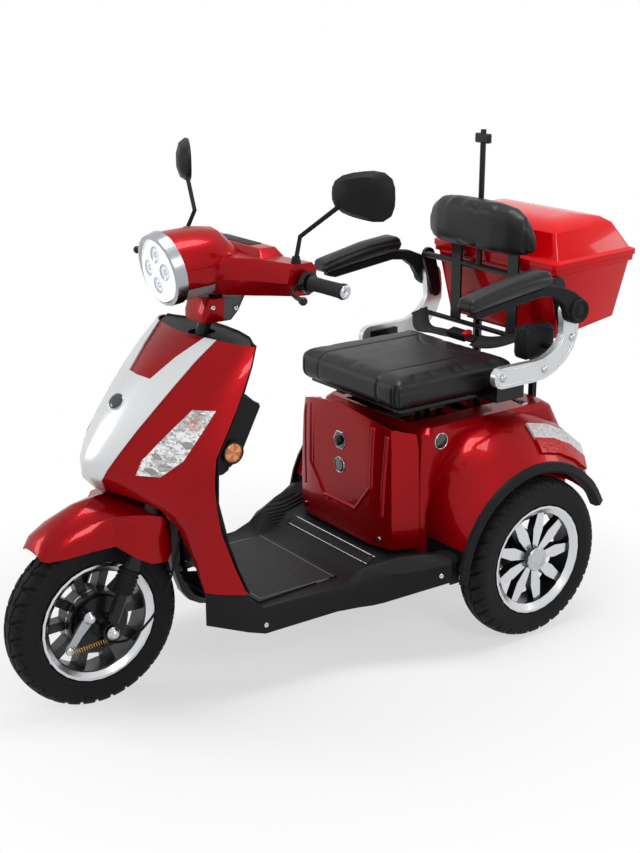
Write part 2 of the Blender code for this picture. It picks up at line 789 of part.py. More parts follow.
def make_head():
    shell = union([closed_loft([head_ring(*s) for s in HEAD_STATIONS]), wing_mesh()])
    aim = Vector((0, -math.cos(LAMP_TILT), -math.sin(LAMP_TILT)))
    lamp_seat = rod(LAMP_CENTRE + aim * (0.004 - SEAT_GAP), LAMP_CENTRE + aim * 0.09, 0.13)
    column = rod(on_steering_axis(0.80), on_steering_axis(0.995), STEERER_RADIUS + SEAT_GAP)
    shell = cut(shell, [lamp_seat, column, bar_tube(BAR_RADIUS + SEAT_GAP)])
    add_mesh("head_cover", shell, PAINT_RED, STEERING)
    ring = (
        (LAMP_RADIUS - 0.006, 0.030),
        (LAMP_RADIUS + 0.002, 0.028),
        (LAMP_RADIUS + 0.005, 0.004),
        (LAMP_RADIUS - 0.006, 0.004),
    )
    add_mesh("headlamp_bezel", turned(ring, 24, LAMP_CENTRE, aim), ALLOY, STEERING)
    face = LAMP_RADIUS - 0.0065
    lens = ((0, 0.034), (face * 0.55, 0.032), (face * 0.9, 0.027), (face, 0.022), (face, 0.006), (0, 0.006))
    dome = turned(lens, 24, LAMP_CENTRE, aim, closed=False)
    add_mesh("headlamp_lens", dome, CLEAR_LENS, STEERING)


def make_column_cover():
    """The cover round the steering column between the head and the leg shield."""
    rings = []
    for height, half_x, half_y in ((0.853, 0.044, 0.040), (0.872, 0.048, 0.047), (0.907, 0.050, 0.050)):
        centre = on_steering_axis(height)
        rings.append(rounded_ring(half_x, half_y, 0.014, (0, centre.y + 0.006), centre.z))
    hole = rod(on_steering_axis(0.80), on_steering_axis(0.97), STEERER_RADIUS + SEAT_GAP)
    add_mesh("column_cover", cut(closed_loft(rings), [hole]), PAINT_RED, STEERING)


def make_handlebar():
    clamp_start = on_steering_axis(STEERER_TOP) + STEER_DIRECTION * SEAT_GAP
    clamp = rod(clamp_start, on_steering_axis(0.990), STEERER_RADIUS)
    add_mesh("handlebar", union([bar_tube(BAR_RADIUS), clamp]), BLACK_STEEL, STEERING)
    inner, outer = bar_point(1, GRIP_INNER_X), bar_point(1, BAR_END_X + 0.004)
    bore = rod(bar_point(1, 0.15), bar_point(1, BAR_END_X + SEAT_GAP), BAR_RADIUS + SEAT_GAP, sides=12)
    grip = cut(rod(inner, outer, GRIP_RADIUS, sides=14), [bore])
    both = (STEERING, STEERING)
    add_pair("grip", grip, RUBBER, both)
    add_pair("brake_lever", switch_and_lever(bore), BLACK_STEEL, both)
    add_pair("mirror", mirror_mesh(), BLACK_PLASTIC, both)


LEVER_LINE = (
    # from the lever's root: sideways, along the vehicle, up
    (0.000, 0.000, 0.000),
    (0.025, -0.032, -0.003),
    (0.060, -0.050, -0.006),
    (0.094, -0.054, -0.009),
)


def switch_and_lever(bore):
    """The left switch housing clamped on the bar, with the brake lever that it carries."""
    inner = bar_point(1, 0.2475)
    outer = bar_point(1, GRIP_INNER_X - FIT_GAP)
    hinge = (inner + outer) / 2
    root = hinge + Vector((0, -0.026, -0.004))
    line = [root + Vector(step) for step in LEVER_LINE]
    bm = bmesh.new()
    bmesh.ops.create_uvsphere(bm, u_segments=10, v_segments=6, radius=0.0095)
    ball = mesh_of(bm)
    ball.transform(Matrix.Translation(line[-1]))
    pieces = [rod(inner, outer, 0.024, sides=14), rod(hinge + Vector((0, -0.012, 0)), root, 0.0065)]
    pieces += [tube(smooth_path(line, 2), 0.0055), ball]
    return cut(union(pieces), [bore])


def mirror_mesh():
    """The left mirror: a collar on the bar cover, a kneed stem and a domed head."""
    foot = MIRROR_FOOT + Vector((0, 0, SEAT_GAP))
    turn = Matrix.Rotation(MIRROR_TOE_IN, 4, "Z")
    tip = MIRROR_CENTRE + turn @ Vector((-0.046, -0.006, -0.020))
    stem = tube([foot + Vector((0, 0, 0.006)), MIRROR_KNEE, tip], 0.0055)
    collar = rod(foot, foot + Vector((0, 0, 0.014)), 0.011, 0.008)
    rings = []
    for share, depth in ((0.35, -0.026), (0.78, -0.018), (1.0, -0.002), (0.97, 0.006)):
        rings.append([(x * share, depth, z * share) for x, z in mirror_outline()])
    head = closed_loft(rings)
    head.transform(Matrix.Translation(MIRROR_CENTRE) @ turn)
    return union([head, stem, collar])


def mirror_outline():
    """The head's outline, a squared ellipse that is deeper on its outer side."""
    outline = []
    for k in range(20):
        angle = 2 * math.pi * k / 20
        x, z = math.cos(angle), math.sin(angle)
        squared = (abs(x) ** 3 + abs(z) ** 3) ** (-1 / 3)
        taper = 1 + 0.22 * x
        outline.append((MIRROR_HALF_WIDTH * squared * x, MIRROR_HALF_HEIGHT * squared * z * taper))
    return outline


# Leg shield. Its surface is a stack of curves, each from the middle or the wheel arch to the
# rear edge. The nose panel and the lamps take cells of the same net, so they lie close on it.
def ledge(y):
    """Height of the deck's front ledge, on which the shield and the knee panel stand."""
    return DECK_LEDGE_Z + (DECK_LEDGE_Y - y) * DECK_LEDGE_SLOPE


SHIELD_ROWS = (
    # front point, front handle, rear handle, rear point
    ((0, -0.800, 0.838), (0.100, -0.800, 0.838), (0.172, -0.765, 0.836), (0.190, -0.718, 0.826)),
    ((0, -0.852, 0.797), (0.100, -0.850, 0.797), (0.176, -0.810, 0.795), (0.198, -0.735, 0.785)),
    ((0, -0.902, 0.750), (0.092, -0.897, 0.750), (0.176, -0.857, 0.748), (0.203, -0.758, 0.738)),
    ((0, -0.947, 0.707), (0.083, -0.938, 0.707), (0.170, -0.892, 0.706), (0.207, -0.780, 0.697)),
    ((0, -0.995, 0.655), (0.075, -0.980, 0.655), (0.163, -0.932, 0.654), (0.211, -0.808, 0.650)),
    ((0, -1.030, 0.600), (0.070, -1.014, 0.600), (0.160, -0.966, 0.600), (0.215, -0.838, 0.600)),
    ((0, -1.046, 0.570), (0.067, -1.026, 0.570), (0.157, -0.972, 0.568), (0.217, -0.843, 0.562)),
    ((0, -1.046, 0.545), (0.064, -1.024, 0.545), (0.155, -0.972, 0.542), (0.218, -0.845, 0.535)),
    ((0, -1.018, 0.513), (0.060, -1.008, 0.512), (0.155, -0.960, 0.508), (0.218, -0.842, 0.500)),
    ((0.060, -0.985, 0.507), (0.110, -0.965, 0.500), (0.175, -0.920, 0.485), (0.217, -0.838, 0.470)),
    ((0.124, -0.932, 0.482), (0.154, -0.918, 0.470), (0.195, -0.880, 0.450), (0.216, -0.830, 0.430)),
    ((0.140, -0.900, 0.440), (0.162, -0.898, 0.430), (0.200, -0.860, 0.408), (0.213, -0.815, 0.390)),
    ((0.155, -0.868, 0.355), (0.172, -0.870, 0.350), (0.202, -0.840, 0.340), (0.208, -0.790, 0.330)),
)
SHIELD_FOOT = ((0.168, -0.850), (0.180, -0.852), (0.200, -0.810), (0.204, -0.757))
SHIELD_LINES = (
    # widths of the panel's edges: notch, silver border, lamp's inner and outer edge
    (0.098, 0.128, 0.150, 0.172),
    (0.070, 0.121, 0.156, 0.182),
    (0.046, 0.113, 0.162, 0.187),
    (0.046, 0.104, 0.163, 0.190),
    (0.045, 0.091, 0.145, 0.187),
    (0.038, 0.075, 0.124, 0.182),
    (0.031, 0.062, 0.118, 0.155),
    (0.023, 0.047, 0.108, 0.150),
    (0.015, 0.030, 0.100, 0.150),
)
ARCH_SHARES = (0.0, 0.12, 0.24, 0.42, 0.54, 0.66, 0.83, 1.0)
NOSE_CELLS = ((0, 8), (0, 2), {(0, 0), (1, 0)})
LAMP_CELLS = ((3, 6), (3, 5), set())


def shield_row(handles, lines):
    """One curve of the net, read at the panel edges or, on the wheel arch, at equal shares."""
    f, c1, c2, e = [Vector(p) for p in handles]

    def point(u):
        w = 1 - u
        return f * w**3 + c1 * 3 * w * w * u + c2 * 3 * w * u * u + e * u**3

    if lines is None:
        return [point(u) for u in ARCH_SHARES]
    shares = [0.0]
    for width in lines:
        near, far = shares[-1], 1.0
        for _ in range(16):
            middle = (near + far) / 2
            near, far = (middle, far) if point(middle).x < width else (near, middle)
        shares.append(near)
    lamp_middle = (shares[3] + shares[4]) / 2
    shares = shares[:4] + [lamp_middle, shares[4], (shares[4] + 1) / 2, 1.0]
    return [point(u) for u in shares]


def shield_net():
    foot = [(x, y, ledge(y) + SEAT_GAP) for x, y in SHIELD_FOOT]
    rows = [shield_row(r, lines) for r, lines in zip(SHIELD_ROWS, SHIELD_LINES)]
    rows += [shield_row(r, None) for r in SHIELD_ROWS[len(SHIELD_LINES):] + (foot,)]
    return rows


def lifted(grid, distance):
    """The grid moved along its own outward normals, those on the middle plane kept in it."""
    last_row, last_point = len(grid) - 1, len(grid[0]) - 1
    moved = []
    for j, row in enumerate(grid):
        above, below = grid[max(j - 1, 0)], grid[min(j + 1, last_row)]
        line = []
        for i, point in enumerate(row):
            across = row[min(i + 1, last_point)] - row[max(i - 1, 0)]
            normal = (below[i] - above[i]).cross(across)
            if abs(point.x) < MIRROR_WELD:
                normal.x = 0
            line.append(point + normal.normalized() * distance)
        moved.append(line)
    return moved


def cells(grid, rows, columns):
    return [row[columns[0] : columns[1] + 1] for row in grid[rows[0] : rows[1] + 1]]


def make_shield():
    net = shield_net()
    add_mesh("leg_shield", sheet(net, PANEL_WALL, mirror=True), PAINT_RED, VEHICLE)
    seat = lifted(net, TRIM_GAP)
    rows, columns, notch = NOSE_CELLS
    nose = sheet(cells(seat, rows, columns), TRIM_WALL, mirror=True, outwards=True, skip=notch)
    add_mesh("nose_panel", nose, SILVER, VEHICLE)
    rows, columns, _ = LAMP_CELLS
    lens = sheet(cells(seat, rows, columns), LAMP_WALL, outwards=True)
    add_pair("signal_lamp", lens, CLEAR_LENS, (VEHICLE, VEHICLE))


KNEE_ROWS = (
    # edge x, edge y, z, middle y
    (0.186, -0.716, 0.828, -0.668),
    (0.194, -0.733, 0.785, -0.690),
    (0.200, -0.757, 0.735, -0.712),
    (0.205, -0.786, 0.680, -0.735),
    (0.212, -0.834, 0.600, -0.768),
    (0.214, -0.838, 0.500, -0.782),
    (0.211, -0.812, 0.400, -0.782),
    (0.205, -0.785, 0.330, -0.780),
)
KNEE_FOOT = (0.200, -0.752, -0.772)
KNEE_TOP_PLAN = (
    (0, -0.804),
    (0.060, -0.801),
    (0.110, -0.786),
    (0.150, -0.758),
    (0.176, -0.728),
    (0.178, -0.720),
    (0.130, -0.690),
    (0.060, -0.674),
    (0, -0.671),
)
POCKET_SIDE = (
    # y, z
    (-0.757, 0.724),
    (-0.743, 0.726),
    (-0.719, 0.704),
    (-0.699, 0.692),
    (-0.756, 0.582),
    (-0.800, 0.548),
    (-0.836, 0.552),
    (-0.832, 0.600),
    (-0.785, 0.680),
)


POCKET_HOLLOW = ((-0.900, 0.500), (-0.790, 0.530), (-0.742, 0.745), (-0.900, 0.745))
POCKET_HOLLOW_HALF_WIDTH = 0.125


def make_knee_panel():
    """The black wall that closes the shield, with its top shelf and the pocket housing."""
    foot_x, foot_y, foot_middle = KNEE_FOOT
    grid = []
    for edge_x, edge_y, z, middle in (*KNEE_ROWS, (foot_x, foot_y, None, foot_middle)):
        rear_lip = edge_y + 0.008
        row = [(0, middle), (edge_x * 0.30, middle - 0.002)]
        row.append((edge_x * 0.62, (middle * 2 + rear_lip) / 3))
        row.append((edge_x * 0.92, rear_lip))
        row.append((edge_x + 0.003, edge_y + SEAT_GAP + 0.003))
        grid.append([(x, y, ledge(y) + KNEE_FOOT_GAP if z is None else z) for x, y in row])
    wall = sheet(list(reversed(grid)), TRIM_WALL, mirror=True)
    half = list(KNEE_TOP_PLAN)
    plan = half + [(-x, y) for x, y in reversed(half[1:-1])]
    shelf = plate(plan, TRIM_WALL, place=Matrix.Translation((0, 0, KNEE_SHELF_Z)))
    pocket = plate(POCKET_SIDE, 2 * POCKET_HALF_WIDTH, bevel=0.006, segments=1)
    pocket = cut(pocket, [plate(POCKET_HOLLOW, 2 * POCKET_HOLLOW_HALF_WIDTH)])
    column = rod(on_steering_axis(0.78), on_steering_axis(0.86), 0.030, sides=14)
    stud_hole = rod(*stud_ends(), STUD_RADIUS + SEAT_GAP)
    panel = cut(union([wall, shelf, pocket]), [column, stud_hole])
    add_mesh("knee_panel", panel, BLACK_PLASTIC, VEHICLE)


def stud_ends():
    """The stud from the head tube that carries the knee panel, from its root to its tip."""
    root = on_steering_axis(STUD_Z)
    return Vector((0, root.y + 0.015, STUD_Z)), Vector((0, STUD_TIP_Y, STUD_Z))


# Foot deck. Level between a ledge in front and a hump on each side behind, with deep skirts.
DECK_HALF_WIDTHS = (
    (-0.850, 0.176),
    (-0.755, 0.207),
    (-0.500, 0.226),
    (-0.410, 0.262),
    (-0.262, 0.336),
    (-0.258, 0.330),
    (-0.231, 0.330),
)
DECK_INNER_TOPS = ((-0.716, 0.210), (-0.424, 0.210), (-0.366, 0.238), (-0.235, 0.240))
DECK_HUMP_TOPS = ((-0.716, 0.210), (-0.464, 0.212), (-0.434, 0.250), (-0.351, 0.270), (-0.262, 0.266))
DECK_SKIRT_TOPS = ((-0.716, 0.214), (-0.480, 0.216), (-0.430, 0.244), (-0.350, 0.246), (-0.262, 0.262))
DECK_BOTTOMS = ((-0.850, 0.196), (-0.715, 0.150), (-0.420, 0.160), (-0.262, 0.204), (-0.258, 0.194))
DECK_STATIONS = (
    -0.850, -0.805, -0.757, -0.713, -0.520, -0.464, -0.434, -0.410, -0.366, -0.320, -0.262, -0.258, -0.231,
)
DECK_SHARES = (0.0, 0.40, 0.72, 0.80, 0.90, 0.975, 1.0)


def deck_row(y):
    """Half a section of the deck, from its middle out to the foot of the skirt."""
    w, bottom = between(DECK_HALF_WIDTHS, y), between(DECK_BOTTOMS, y)
    if y < DECK_LEDGE_Y:
        heights = [ledge(y)] * len(DECK_SHARES)
    else:
        inner, hump = between(DECK_INNER_TOPS, y), between(DECK_HUMP_TOPS, y)
        skirt = between(DECK_SKIRT_TOPS, y)
        heights = [inner, inner, inner, (inner + hump * 2) / 3, hump, skirt, skirt]
    heights[-1] -= 0.010
    row = [(share * w, y, z) for share, z in zip(DECK_SHARES, heights)]
    return row + [(w, y, bottom)]


def make_deck():
    shell = sheet([deck_row(y) for y in reversed(DECK_STATIONS)], PANEL_WALL, mirror=True)
    tube_slot = block((0.060, 0.078, 0.10), (0, -0.811, 0.24))
    body_corner = (BODY_HALF_WIDTH + FIT_GAP, BODY_FRONT + 0.06)
    grown = [(x + FIT_GAP, y - FIT_GAP) for x, y in COVER_PLAN]
    plan = grown + [body_corner] + [(-x, y) for x, y in reversed(grown + [body_corner])]
    cover_room = plate(plan, 0.20, place=Matrix.Translation((0, 0, 0.350)))
    bm = bmesh.new()
    bmesh.ops.create_uvsphere(bm, u_segments=24, v_segments=12, radius=WHEEL_SWEEP_RADIUS)
    wheel_room = mesh_of(bm)
    wheel_room.transform(Matrix.Translation(FRONT_AXLE + Vector((0, 0.003, 0))))
    pegs = [rod(*peg_ends(side), PEG_RADIUS + SEAT_GAP) for side in (1, -1)]
    shell = cut(shell, [tube_slot, cover_room, wheel_room] + pegs)
    add_mesh("foot_deck", shell, BLACK_PLASTIC, VEHICLE)
    corners = [(0.82, MAT_FRONT), (0.66, MAT_REAR)]
    half = [(share * between(DECK_HALF_WIDTHS, y), y) for share, y in corners]
    outline = [(-x, y) for x, y in half] + list(reversed(half))
    place = Matrix.Translation((0, 0, DECK_TOP + SEAT_GAP + MAT_THICKNESS / 2))
    add_mesh("foot_mat", plate(outline, MAT_THICKNESS, place=place), RUBBER, VEHICLE)


# Rear body: the battery housing, its front cover and a fender over each rear wheel
COVER_PLAN = ((0, -0.345), (0.125, -0.343), (0.187, -0.325), (0.2135, -0.262))
COVER_ROWS = (
    # z, narrowing at the sides, bulge to the front
    (0.252, 0.000, 0.0000),
    (0.320, 0.000, 0.0020),
    (0.410, 0.003, 0.0030),
    (0.510, 0.009, 0.0015),
    (0.588, 0.018, 0.0000),
)
RECESS = ((0.640, 0.112), (0.395, 0.112), (0.330, 0.060), (0.312, 0.030))


def peg_ends(side):
    """The frame's peg that carries a bottom corner of the battery cover."""
    x = side * PEG_X
    return Vector((x, PEG_ROOT_Y, PEG_Z)), Vector((x, COVER_PLAN[1][1], PEG_Z))


def make_battery_cover():
    grid = []
    for z, narrowing, bulge in reversed(COVER_ROWS):
        row = []
        for i, (x, y) in enumerate(COVER_PLAN):
            drop = 0.016 * i if z == COVER_ROWS[-1][0] else 0.0
            row.append((x - narrowing * i / 3, y - bulge * (i < 3), z - drop))
        grid.append(row)
    wall = sheet(grid, COVER_WALL, mirror=True)
    outline = [(x, z) for z, x in RECESS] + [(-x, z) for z, x in reversed(RECESS)]
    upright = Matrix.Translation((0, COVER_PLAN[0][1] - 0.0195, 0)) @ Matrix.Rotation(math.pi / 2, 4, "X")
    recess = plate(outline, 0.04, place=upright)
    pegs = [rod(*peg_ends(side), PEG_RADIUS + SEAT_GAP) for side in (1, -1)]
    add_mesh("battery_cover", cut(wall, [recess] + pegs), PAINT_RED, VEHICLE)


FENDER_ANGLES = (163, 153, 140, 126, 112, 98, 84, 71, 58, 45, 34, 24)
FENDER_SHARES = (0.0, 0.16, 0.36, 0.60, 0.80, 1.0)
TAIL_LAMP_CELLS = ((6, 9), (1, 3))


def fender_grid():
    """The left fender, from its edge over the tyre to the side of the body."""
    inner_x = BODY_HALF_WIDTH - 0.012
    grid = []
    for degrees in FENDER_ANGLES:
        angle = math.radians(degrees)
        growth = min(max((math.radians(162) - angle) / math.radians(62), 0), 1)
        inner = FENDER_EDGE_RADIUS + 0.010 + FENDER_RISE * math.sin(growth * math.pi / 2)
        if degrees < 90:
            inner = min(inner, (BODY_REAR - 0.008) / math.cos(angle))
        row = []
        for share in FENDER_SHARES:
            x = FENDER_EDGE_X + (inner_x - FENDER_EDGE_X) * share
            radius = FENDER_EDGE_RADIUS + (inner - FENDER_EDGE_RADIUS) * math.sin(share * math.pi / 2)
            y = radius * math.cos(angle)
            row.append(Vector((x, y, TYRE_RADIUS + radius * math.sin(angle))))
        grid.append(row)
    return grid


def body_rings(inset, top_drop, bottom_drop):
    """Level sections of the housing, moved inwards by inset for the inner face."""
    half = BODY_HALF_WIDTH
    levels = (
        # z, half width, front y, rear y
        (BODY_BOTTOM - bottom_drop, half, BODY_FRONT, BODY_REAR),
        (0.420, half - 0.003, BODY_FRONT, BODY_REAR - 0.006),
        (BODY_TOP - 0.012 - top_drop, half - 0.006, BODY_FRONT + 0.012, 0.190),
        (BODY_TOP - top_drop, half - 0.018, BODY_FRONT + 0.024, 0.172),
    )
    rings = []
    for z, half_width, front, rear in levels:
        ring = box_ring(half_width - inset, front + inset, rear - inset, z, 0.03)
        rings.append(ring)
    return rings


def make_rear_body():
    outer = closed_loft(body_rings(0.0, 0.0, 0.0))
    inner = closed_loft(body_rings(BODY_WALL, BODY_WALL, 0.05))
    grid = fender_grid()
    fender = sheet(grid, PANEL_WALL)
    body = union([outer, fender, reflected(fender)])
    hatch = block((0.26, 0.30, 0.04), (0, -0.08, BODY_TOP))
    posts = [rod((x, POST_Y, 0.30), (x, POST_Y, 0.60), 0.016) for x in (POST_X, -POST_X)]
    pegs = [rod(*peg_ends(side), PEG_RADIUS + SEAT_GAP) for side in (1, -1)]
    add_mesh("rear_body", cut(body, [inner, hatch] + posts + pegs), PAINT_RED, VEHICLE)
    both = (VEHICLE, VEHICLE)
    add_pair("fender_flare", flare_mesh(), BLACK_PLASTIC, both)
    lamp = sheet(cells(lifted(grid, TRIM_GAP), *TAIL_LAMP_CELLS), LAMP_WALL, outwards=True)
    add_pair("tail_lamp", lamp, RED_LENS, both)


def flare_mesh():
    """The black lip along the left fender's edge, as a swept section."""
    inner_x = FENDER_EDGE_X + SEAT_GAP
    section = (
        # x, radius about the rear axle
        (inner_x - 0.014, 0.2245),
        (inner_x + 0.006, 0.2245),
        (inner_x + 0.014, 0.232),
        (inner_x + 0.008, 0.250),
        (inner_x, 0.252),
        (inner_x, FENDER_EDGE_RADIUS - PANEL_WALL - 0.0025),
        (inner_x - 0.014, FENDER_EDGE_RADIUS - PANEL_WALL - 0.0045),
    )
    rings = []
    for k in range(FLARE_STEPS + 1):
        angle = math.radians(FLARE_ANGLES[0] - (FLARE_ANGLES[0] - FLARE_ANGLES[1]) * k / FLARE_STEPS)
        ring = []
        for x, radius in section:
            ring.append((x, radius * math.cos(angle), TYRE_RADIUS + radius * math.sin(angle)))
        rings.append(ring)
    return closed_loft(rings)


# Running gear and frame
MOTOR_PROFILE = ((0, 0.075), (0.05, 0.070), (0.072, 0.045), (0.072, -0.045), (0.05, -0.070), (0, -0.075))
ARM_EYE = Vector((0.168, -0.300, 0.160))
SHOCK_FOOT = Vector((0.168, 0.008, 0.213))
SHOCK_EYE = Vector((0.168, 0.075, 0.473))


def make_drive():
    """Rear axle with its motor and gears, trailing arms and springs."""
    axle_height = TYRE_RADIUS
    motor = turned(MOTOR_PROFILE, 16, (0.02, 0, axle_height), closed=False)
    drum_end = HALF_TRACK - 0.035
    stub_end = HALF_TRACK + STUB_DEPTH
    pieces = [rod((-0.250, 0, axle_height), (0.250, 0, axle_height), 0.017), motor]
    pieces.append(rod((-0.05, 0, axle_height), (-0.15, 0, axle_height), 0.055, 0.045, 14))
    pieces.append(rod((-stub_end, 0, axle_height), (stub_end, 0, axle_height), STUB_RADIUS, sides=HUB_STEPS))
    aim = (SHOCK_EYE - SHOCK_FOOT).normalized()
    eye_half = Vector((0.013, 0, 0))
    half = [
        rod((0.236, 0, axle_height), (drum_end, 0, axle_height), 0.060, sides=16),
        tube([ARM_EYE, (ARM_EYE.x, -0.120, 0.140), (ARM_EYE.x, 0.0, axle_height)], 0.014),
        rod(ARM_EYE - eye_half, ARM_EYE + eye_half, 0.020),
        rod(SHOCK_FOOT, SHOCK_EYE, 0.008),
        rod(SHOCK_FOOT + aim * 0.09, SHOCK_EYE - aim * 0.03, 0.021),
        rod(SHOCK_EYE - eye_half, SHOCK_EYE + eye_half, 0.014),
    ]
    pins = [pivot_pin(ARM_EYE, SEAT_GAP), pivot_pin(SHOCK_EYE, SEAT_GAP)]
    axle = union(pieces + half + [reflected(mesh) for mesh in half])
    axle = cut(axle, pins + [reflected(mesh) for mesh in pins])
    add_mesh("rear_axle", axle, BLACK_STEEL, VEHICLE)


def pivot_pin(eye, gap=0.0):
    """The frame's pin through an eye of the running gear, grown by a gap for the eye's bore."""
    inner, outer = Vector((0.125, eye.y, eye.z)), Vector((0.190, eye.y, eye.z))
    return rod(inner, outer, 0.008 + gap)


def box_floor(y):
    """Height of the box's outer floor, which rises to the rear."""
    return BOX_RIM_HEIGHT - BOX_DEPTH + (y - BOX_FRONT) * BOX_FLOOR_SLOPE


RAIL_LINE = (
    (0.13, -0.180, 0.500),
    (0.13, -0.190, 0.285),
    (0.13, -0.215, 0.200),
    (0.13, -0.300, 0.172),
    (0.13, -0.640, 0.172),
    (0.09, -0.700, 0.172),
)
CARRIER_REACH = (0.184, 0.370)
DOWN_TUBE = ((0, -0.826, 0.36), (0, -0.812, 0.25), (0, -0.785, 0.195), (0, -0.735, 0.174), (0, -0.690, 0.172))


def make_frame():
    """The steel frame: head tube, floor rails, seat supports and the carrier for the box."""
    head_low, head_high = on_steering_axis(0.565), on_steering_axis(0.790)
    bore = rod(on_steering_axis(0.54), on_steering_axis(0.82), STEERER_RADIUS + 0.0012, sides=14)
    start = on_steering_axis(0.66) + Vector((0, 0.005, 0))
    pieces = [rod(head_low, head_high, 0.026, sides=14), rod(*stud_ends(), STUD_RADIUS)]
    pieces.append(tube(smooth_path((start, *DOWN_TUBE), 2), 0.019))
    other_half = [(-x, y, z) for x, y, z in reversed(RAIL_LINE)]
    pieces.append(tube(list(RAIL_LINE) + other_half, 0.0135))
    rail_z = SHOCK_EYE.z
    post_top = box_floor(POST_Y) - 0.0045
    side_rail = [(0.13, -0.196, rail_z), (0.13, 0.160, rail_z)]
    side_rail += [(POST_X, POST_Y, 0.490), (POST_X, POST_Y, post_top)]
    half = [
        tube(side_rail, 0.0125),
        pivot_pin(ARM_EYE),
        pivot_pin(SHOCK_EYE),
        rod(*peg_ends(1), PEG_RADIUS),
        rod((0.125, PEG_ROOT_Y, PEG_Z), (PEG_X + 0.003, PEG_ROOT_Y, PEG_Z), 0.0065),
        rod((0.122, 0.090, TRAY_Z), (0.13, 0.090, rail_z), 0.007),
    ]
    for y in (-0.17, 0.02):
        half.append(rod((0.10, y, rail_z - 0.013), (0.10, y, SEAT_PLATE_TOP - 0.002), 0.010))
        half.append(rod((0.091, y, rail_z - 0.002), (0.132, y, rail_z - 0.002), 0.0085))
    for y in (-0.12, 0.11):
        pieces.append(rod((-0.168, y, rail_z + 0.002), (0.168, y, rail_z + 0.002), 0.0105))
        half.append(rod((0.158, y, rail_z), (0.158, y, BODY_TOP - BODY_WALL - SEAT_GAP), 0.008))
    pieces += half + [reflected(mesh) for mesh in half]
    bar_top = DECK_TOP - PANEL_WALL - SEAT_GAP
    for y in (-0.62, -0.47):
        pieces.append(block((0.26, 0.024, 0.030), (0, y, bar_top - 0.015)))
    pieces.append(block((0.24, 0.26, 0.006), (0, -0.075, SEAT_PLATE_TOP - 0.003)))
    pieces.append(block((0.26, 0.29, 0.006), (0, -0.050, TRAY_Z)))
    carrier = [(y, box_floor(y) - SEAT_GAP) for y in CARRIER_REACH]
    carrier += [(y, box_floor(y) - SEAT_GAP - 0.0065) for y in reversed(CARRIER_REACH)]
    pieces.append(plate(carrier, 0.26))
    add_mesh("frame", cut(union(pieces), [bore]), BLACK_STEEL, VEHICLE)
    size = Vector((0.22, 0.28, 0.155))
    place = (0, -0.045, TRAY_Z + 0.003 + SEAT_GAP + size.z / 2)
    add_mesh("battery_pack", block(size, place, 0.006, 1), GREY_PLASTIC, VEHICLE)


# Seat with its side brackets, backrest, armrests and belt
BRACKET_LINE = (
    (-0.055, 0.661),
    (0.020, 0.661),
    (0.085, 0.664),
    (0.140, 0.693),
    (0.170, 0.740),
    (0.165, 0.804),
)
LOBE_LINE = ((0.168, 0.760), (0.155, 0.812), (0.139, 0.863))
PAD_STATIONS = (
    # x, front y, bottom z, top z of the backrest pad
    (0.000, 0.058, 0.916, 1.060),
    (0.080, 0.062, 0.916, 1.057),
    (0.135, 0.071, 0.918, 1.048),
    (0.172, 0.084, 0.922, 1.028),
    (0.194, 0.097, 0.930, 0.998),
    (0.203, 0.106, 0.942, 0.975),
)


def make_seat():
    cushion = block(
        (2 * CUSHION_HALF_WIDTH, CUSHION_REAR - CUSHION_FRONT, CUSHION_TOP - CUSHION_BOTTOM),
        (0, (CUSHION_REAR + CUSHION_FRONT) / 2, (CUSHION_TOP + CUSHION_BOTTOM) / 2),
        0.022, 2,
    )
    add_mesh("seat_cushion", cushion, LEATHER, SEAT)
    pan_top = CUSHION_BOTTOM - SEAT_GAP
    runner_bottom = SEAT_PLATE_TOP + SEAT_GAP
    pieces = [block((0.36, 0.34, 0.008), (0, -0.130, pan_top - 0.004))]
    reach = BRACKET_X - BRACKET_THICKNESS / 2 - SEAT_GAP
    runner_height = pan_top - runner_bottom
    for side in (1, -1):
        runner_place = (side * 0.10, -0.120, runner_bottom + runner_height / 2)
        pieces.append(block((0.030, 0.30, runner_height), runner_place))
        wing_place = (side * (reach + 0.150) / 2, -0.010, pan_top - 0.005)
        pieces.append(block((reach - 0.150, 0.09, 0.006), wing_place))
        pieces.append(block((0.006, 0.09, 0.080), (side * (reach - 0.003), -0.010, pan_top + 0.032)))
    add_mesh("seat_base", union(pieces), BLACK_STEEL, SEAT)
    line = [p.to_2d() for p in smooth_path([(y, z, 0) for y, z in BRACKET_LINE], 2)]
    outline = strip_outline(line, [BRACKET_HALF_HEIGHT] * len(line), 5)
    bracket = plate(outline, BRACKET_THICKNESS, offset=BRACKET_X, bevel=0.003, segments=1)
    add_pair("seat_bracket", bracket, SILVER, (SEAT, SEAT))
    make_backrest(reach)
    make_armrests()
    make_belt()


